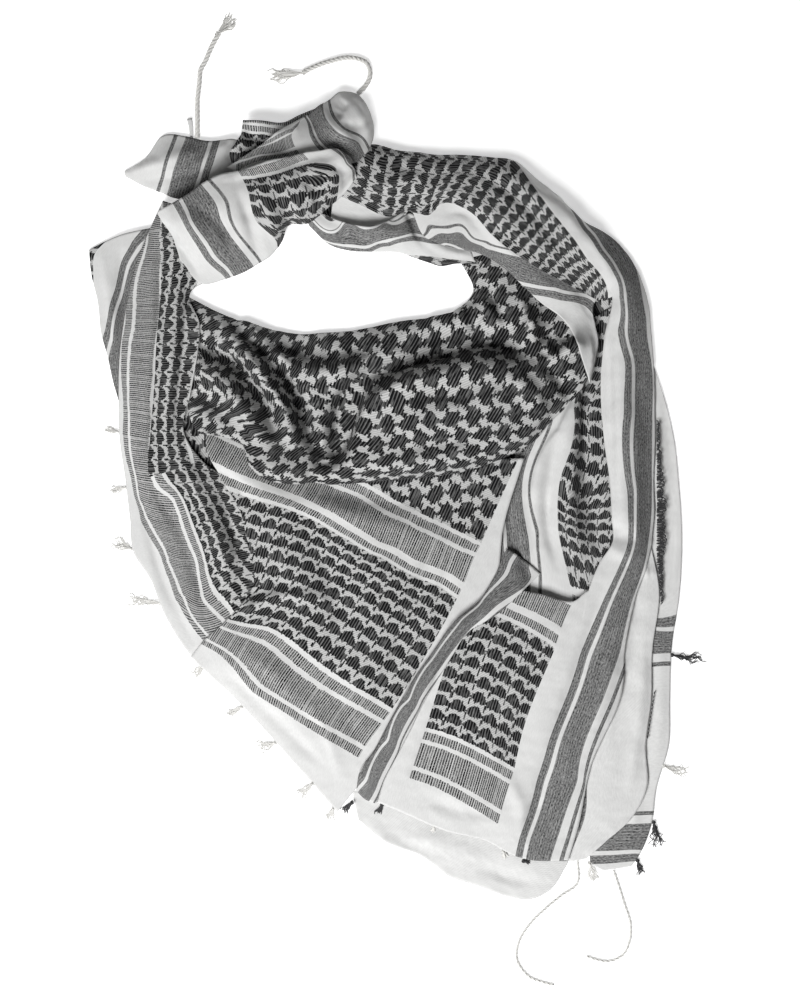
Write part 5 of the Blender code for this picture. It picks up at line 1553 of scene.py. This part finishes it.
WRAP_TOP_PINS = [
    (-85, 339, 118, 37), (-93, 322, 118, 60), (-82, 304, 118, 87), (-83, 340, 86, 34),
    (-70, 315, 86, 66), (-46, 302, 86, 92), (-77, 342, 75, 32), (-55, 310, 75, 74), (-36, 298, 75, 97),
    (-64, 352, 51, 22), (-54, 331, 51, 46), (-32, 320, 51, 76), (-27, 310, 51, 92), (-57, 356, 40, 16),
    (-45, 333, 40, 44), (-29, 325, 40, 68), (-141, 298, 204, 80), (-83, 303, 120, 85),
    (-122, 312, 170, 60), (-141, 292, 204, 86), (-93, 320, 122, 62), (-122, 315, 168, 43),
    (-94, 328, 124, 43), (-35, 362, 12, 20), (-23, 341, 12, 52),
]
wrap_top = lay(
    "top_of_the_knot", WRAP_TOP, WRAP_TOP_CREASES, WRAP_TOP_PINS,
    under=["tail_behind_the_knot", "tuck_inside_the_knot", "loop_border_and_right_flap"],
    spine="crest",
    rumple=0.35,
)
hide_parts("wrap_top")


# The knot's front layer, which wraps down over the back loop and the left band. Its stripes and its
# small check run across it, and it is pulled into soft folds.
WRAP_FRONT = Net(
    ("top", "crest", "belly", "lower"),
    [
        [(-215, 255, 22.5), (-209, 243, 24.5), (-202, 230, 23.5), (-193, 212, 19.5)],
        [(-208, 259, 27.5), (-197, 243, 32.5), (-188, 225, 30.5), (-175, 191, 10.5)],
        [(-199, 264, 29.5), (-184, 241, 36.5), (-171, 219, 33.5), (-151, 196, 8.5)],
        [(-187, 271, 31.5), (-171, 246, 39.5), (-157, 221, 35.5), (-138, 201, 8.5)],
        [(-173, 281, 33.5), (-158, 258, 41.5), (-142, 232, 37.5), (-124, 209, 8.5)],
        [(-159, 288, 34.5), (-144, 264, 42.5), (-131, 238, 38.5), (-114, 215, 9.5)],
        [(-135, 292, 35.5), (-124, 270, 43.5), (-115, 247, 39.5), (-104, 228, 11.5)],
        [(-110, 299, 36.5), (-104, 281, 44.5), (-99, 263, 40.5), (-97, 243, 12.5)],
        [(-87, 304, 36.5), (-81, 288, 44.5), (-78, 270, 40.5), (-80, 245, 12.5)],
        [(-69, 307, 35.5), (-62, 296, 41.5), (-57, 283, 37.5), (-55, 264, 13.5)],
        [(-55, 308, 33.5), (-48, 302, 37.5), (-43, 293, 33.5), (-41, 278, 14.5)],
        [(-46, 305, 30.5), (-42, 301, 32.5), (-38, 295, 29.5), (-35, 287, 16.5)],
    ],
)
WRAP_FRONT_CREASES = [
    Crease(6, 6, 1.6, [(-148, 284), (-114, 296), (-87, 304), (-56, 308), (-42, 302)]),
    Crease(-4.5, 6, 1.3, [(-180, 261), (-157, 241), (-144, 214)]),
    Crease(4.5, 7, 1.3, [(-195, 259), (-177, 235), (-159, 205)]),
    Crease(-4.5, 7, 1.3, [(-87, 286), (-69, 270), (-72, 252)]),
    Crease(4.5, 7, 1.3, [(-124, 280), (-114, 253), (-107, 226)]),
    Crease(-4, 6, 1.2, [(-142, 275), (-132, 248), (-124, 217)]),
    Crease(-3.2, 5, 1, [(-213, 247), (-196, 223), (-180, 202)]),
    Crease(3, 6, 1, [(-100, 275), (-88, 257), (-87, 247)]),
    Crease(-3, 5, 1, [(-60, 298), (-46, 289), (-46, 277)]),
]
WRAP_FRONT_PINS = [
    (-198, 262, 286, 97), (-187, 262, 275, 100), (-159, 262, 251, 112), (-148, 262, 240, 118),
    (-128, 262, 204, 125), (-190, 248, 286, 110), (-180, 248, 275, 113), (-155, 248, 251, 126),
    (-145, 248, 240, 130), (-124, 248, 204, 138), (-180, 230, 286, 128), (-168, 230, 275, 132),
    (-144, 230, 251, 143), (-135, 230, 240, 147), (-106, 226, 204, 157), (-168, 212, 286, 147),
    (-157, 212, 275, 150), (-128, 212, 251, 160), (-119, 212, 240, 164), (-153, 199, 286, 166),
    (-145, 199, 275, 170), (-210, 253, 310, 92), (-135, 284, 204, 88), (-72, 301, 118, 88),
    (-50, 271, 118, 125), (-105, 228, 204, 157), (-46, 302, 86, 88), (-38, 286, 86, 110),
    (-36, 298, 75, 92), (-27, 310, 51, 92), (-91, 271, 158, 113), (-105, 290, 166, 88),
    (-77, 250, 148, 140), (-114, 253, 190, 124),
]
wrap_front = lay(
    "front_of_the_knot", WRAP_FRONT, WRAP_FRONT_CREASES, WRAP_FRONT_PINS,
    under=[
        "top_of_the_knot",
        "tail_behind_the_knot",
        "band_down_the_left",
        "loop_border_and_right_flap",
        "collar_edge_by_the_knot",
        "tuck_inside_the_knot",
    ],
    spine="belly",
    rumple=0.5,
)
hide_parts("wrap_front")


# The hidden layers: the rest of the cloth, folded flat many times under what shows. Only its rounded
# edges are seen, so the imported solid's own form is refined, rumpled into stacked folds, and kept
# under the stretches that lie on it.
FOLDS_FACET = 6 * MM
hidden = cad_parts["hidden_layers"]
mesh = bmesh.new()
mesh.from_mesh(hidden.data)
bmesh.ops.transform(mesh, matrix=hidden.matrix_world, verts=mesh.verts)
bmesh.ops.remove_doubles(mesh, verts=mesh.verts, dist=1e-5)
long_edges = [edge for edge in mesh.edges if edge.calc_length() > FOLDS_FACET]
bmesh.ops.subdivide_edges(mesh, edges=long_edges, cuts=2, use_grid_fill=True)
bmesh.ops.triangulate(mesh, faces=mesh.faces)
mesh.normal_update()
laid = [tree for name, tree in trees.items() if name != "cowl as it will lie"]
for vertex in mesh.verts:
    x, y, z = vertex.co / MM
    if z < 0.5:  # it lies on the table
        continue
    sunk = noise.noise(Vector((x * 0.05, y * 0.05, z * 0.4))) - 0.8
    x, y, z = (vertex.co + vertex.normal * min(sunk, 0) * 0.35 * MM) / MM
    for tree in laid:
        for dx, dy in around(3):
            hit = tree.ray_cast(Vector((x + dx, y + dy, UNDER_ALL)), UP)[0]
            if hit is not None:
                z = min(z, max(hit.z - CLOTH - 0.8, 0.6))
    vertex.co = (x * MM, y * MM, z * MM)
layer = mesh.loops.layers.uv.new("cloth")
for face in mesh.faces:
    face.smooth = True
    for loop in face.loops:
        x, y, z = loop.vert.co
        loop[layer].uv = (0.55 + x + z * 1.4, 0.6 + y * 0.9 - z * 0.8)
folds = put_mesh("folds_underneath", mesh, keffiyeh_cloth)
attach(folds, "root")
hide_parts("hidden_layers")


# The tassels: the warp ends of the fringed hem, knotted in bunches. Most are white, and those from
# the grey stripes are black. Each is a small knot with a dozen loose ends that lie down from it.
black_yarn = cotton_yarn.copy()
black_yarn.name = "cotton yarn, dyed black"
for node in black_yarn.node_tree.nodes:
    if node.type == "MIX":
        node.inputs[6].default_value = linear("161617")
        node.inputs[7].default_value = linear("39393B")
Tassel = namedtuple("Tassel", "root tip lift fan shade")
TASSELS = [
    Tassel((-248.7, 57.2), (-263.0, 61.2), 0, 0.5, "white"),
    Tassel((-243.1, 7.7), (-259.4, 5.0), 0, 0.5, "white"),
    Tassel((-238.3, -47.7), (-258.5, -40.5), 0, 0.7, "white"),
    Tassel((-212.9, -96.6), (-245.0, -94.5), 0, 0.4, "white"),
    Tassel((-170.7, -151.6), (-183.8, -162.5), 0, 0.5, "white"),
    Tassel((-139.1, -190.0), (-153.2, -197.6), 0, 0.6, "white"),
    Tassel((-108.7, -222.3), (-125.3, -227.7), 0, 0.6, "white"),
    Tassel((-75.6, -259.2), (-89.3, -270.9), 0, 0.6, "white"),
    Tassel((-56.9, -281.7), (-62.3, -293.4), 0, 0.7, "white"),
    Tassel((-39.8, -276.3), (-48.8, -285.3), 3.0, 0.6, "black"),
    Tassel((-12.8, -278.0), (-21.8, -297.9), 4.0, 0.6, "black"),
    Tassel((34.3, -298.1), (29.5, -318.6), 4.3, 0.7, "white"),
    Tassel((97.0, -320.4), (100.6, -338.4), 4.6, 0.8, "white"),
    Tassel((115.1, -328.9), (132.1, -333.9), 4.5, 0.5, "black"),
    Tassel((174.4, -331.2), (180.7, -349.2), 0, 0.5, "white"),
    Tassel((241.7, -243.6), (265.3, -251.1), 0, 0.5, "white"),
    Tassel((232.2, -294.2), (237.4, -318.6), 0, 0.6, "black"),
    Tassel((217.6, -328.7), (221.2, -342.9), 0, 0.6, "black"),
    Tassel((249.0, -143.4), (277.9, -147.6), 0, 0.3, "black"),
]
for number, tassel in enumerate(TASSELS, 1):
    material = black_yarn if tassel.shade == "black" else cotton_yarn
    turn = math.atan2(tassel.tip[1] - tassel.root[1], tassel.tip[0] - tassel.root[0])
    node = f"tassel_{number:02d}"
    lines = tuft(
        tassel.root, tassel.tip, tassel.fan, count=13, thickness=0.7, lift=tassel.lift, curl=2.2
    )
    lines += [knot((*tassel.root, 2.0 + tassel.lift), 1.9, turn)]
    lines += [knot((*tassel.root, 2.3 + tassel.lift), 1.5, turn + 1.3)]
    piece = threads(f"{node}_threads", lines, 1.05, material, taper=0.55)
    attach(piece, "root")
    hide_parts(node)


# The fray: the warp of the thick stripe has come loose along the right border, and hangs out as
# black loops. A few stitches of the same thread show on the hem below it.
FRAY_LOOPS, FRAY_TOP, FRAY_LENGTH = 96, 66, 162
STITCHES, STITCHES_TOP, STITCHES_STEP = 12, -176.4, 3.6
loops = []
for number in range(FRAY_LOOPS):
    share = number / (FRAY_LOOPS - 1)
    y = FRAY_TOP - share * FRAY_LENGTH
    wide = 2.0 + 10.5 * math.sin(math.pi * min(share * 1.02, 1)) ** 1.6 * (0.35 + 0.65 * share)
    wild = noise.noise_vector(Vector((number * 3.1, 4.2, 0.7)))
    x = 235.0 + wild.x * 0.8 + (4 * (share - 0.75) / 0.25 if share > 0.75 else 0)
    out = wide * (0.75 + 0.5 * wild.y)
    drop = 3.5 + 5 * wild.z
    line = []
    for step in range(9):
        turn = step / 8 * math.pi
        line.append((
            x + math.sin(turn) * out,
            y - drop * (step / 8 - 0.5) + wild.z * 2 * math.sin(2 * turn),
            5.3 + 1.2 * math.sin(turn) + 0.5 * wild.x,
        ))
    loops.append(line)
for number in range(STITCHES):
    y = STITCHES_TOP - number * STITCHES_STEP
    left = number * 0.55
    loops.append([(233 - left, y, 5.2), (232.6 - left, y - 1.1, 5.9), (232.8 - left, y - 2.2, 5.2)])
piece = threads("fray_loops", loops, 1.15, black_yarn, taper=0.9)
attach(piece, "root")
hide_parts("fray")


# The floor and the light: a seamless white table top, which glows a little so that it stays white
# under the shadows, a large soft box and a weaker fill.
seamless_paper = new_material(
    "seamless paper, matt",
    {
        "Roughness": 0.95,
        "Base Color": linear("FBFBFB"),
        "Emission Color": (1, 1, 1, 1),
        "Emission Strength": 0.5,
    },
)[0]
mesh = bmesh.new()
bmesh.ops.create_grid(mesh, x_segments=2, y_segments=2, size=4)
table_top = put_mesh("table_top", mesh, seamless_paper)

world = bpy.data.worlds.new("studio")
world.use_nodes = True
bpy.context.scene.world = world
sky = world.node_tree.nodes["Background"].inputs
sky["Color"].default_value = (1, 1, 1, 1)
sky["Strength"].default_value = 0.04
for name, place, size, power in (
    ("soft box", (-1.0, -1.75, 2.35), 1.6, 130),
    ("fill panel", (1.6, 1.8, 3.0), 1.8, 8),
):
    lamp = bpy.data.lights.new(name, "AREA")
    lamp.size = size
    lamp.energy = power
    light = put(name, lamp)
    light.location = place
    light.rotation_euler = (-Vector(place)).to_track_quat("-Z", "Y").to_euler()
    light.visible_camera = False
bpy.context.scene.view_settings.view_transform = "Standard"
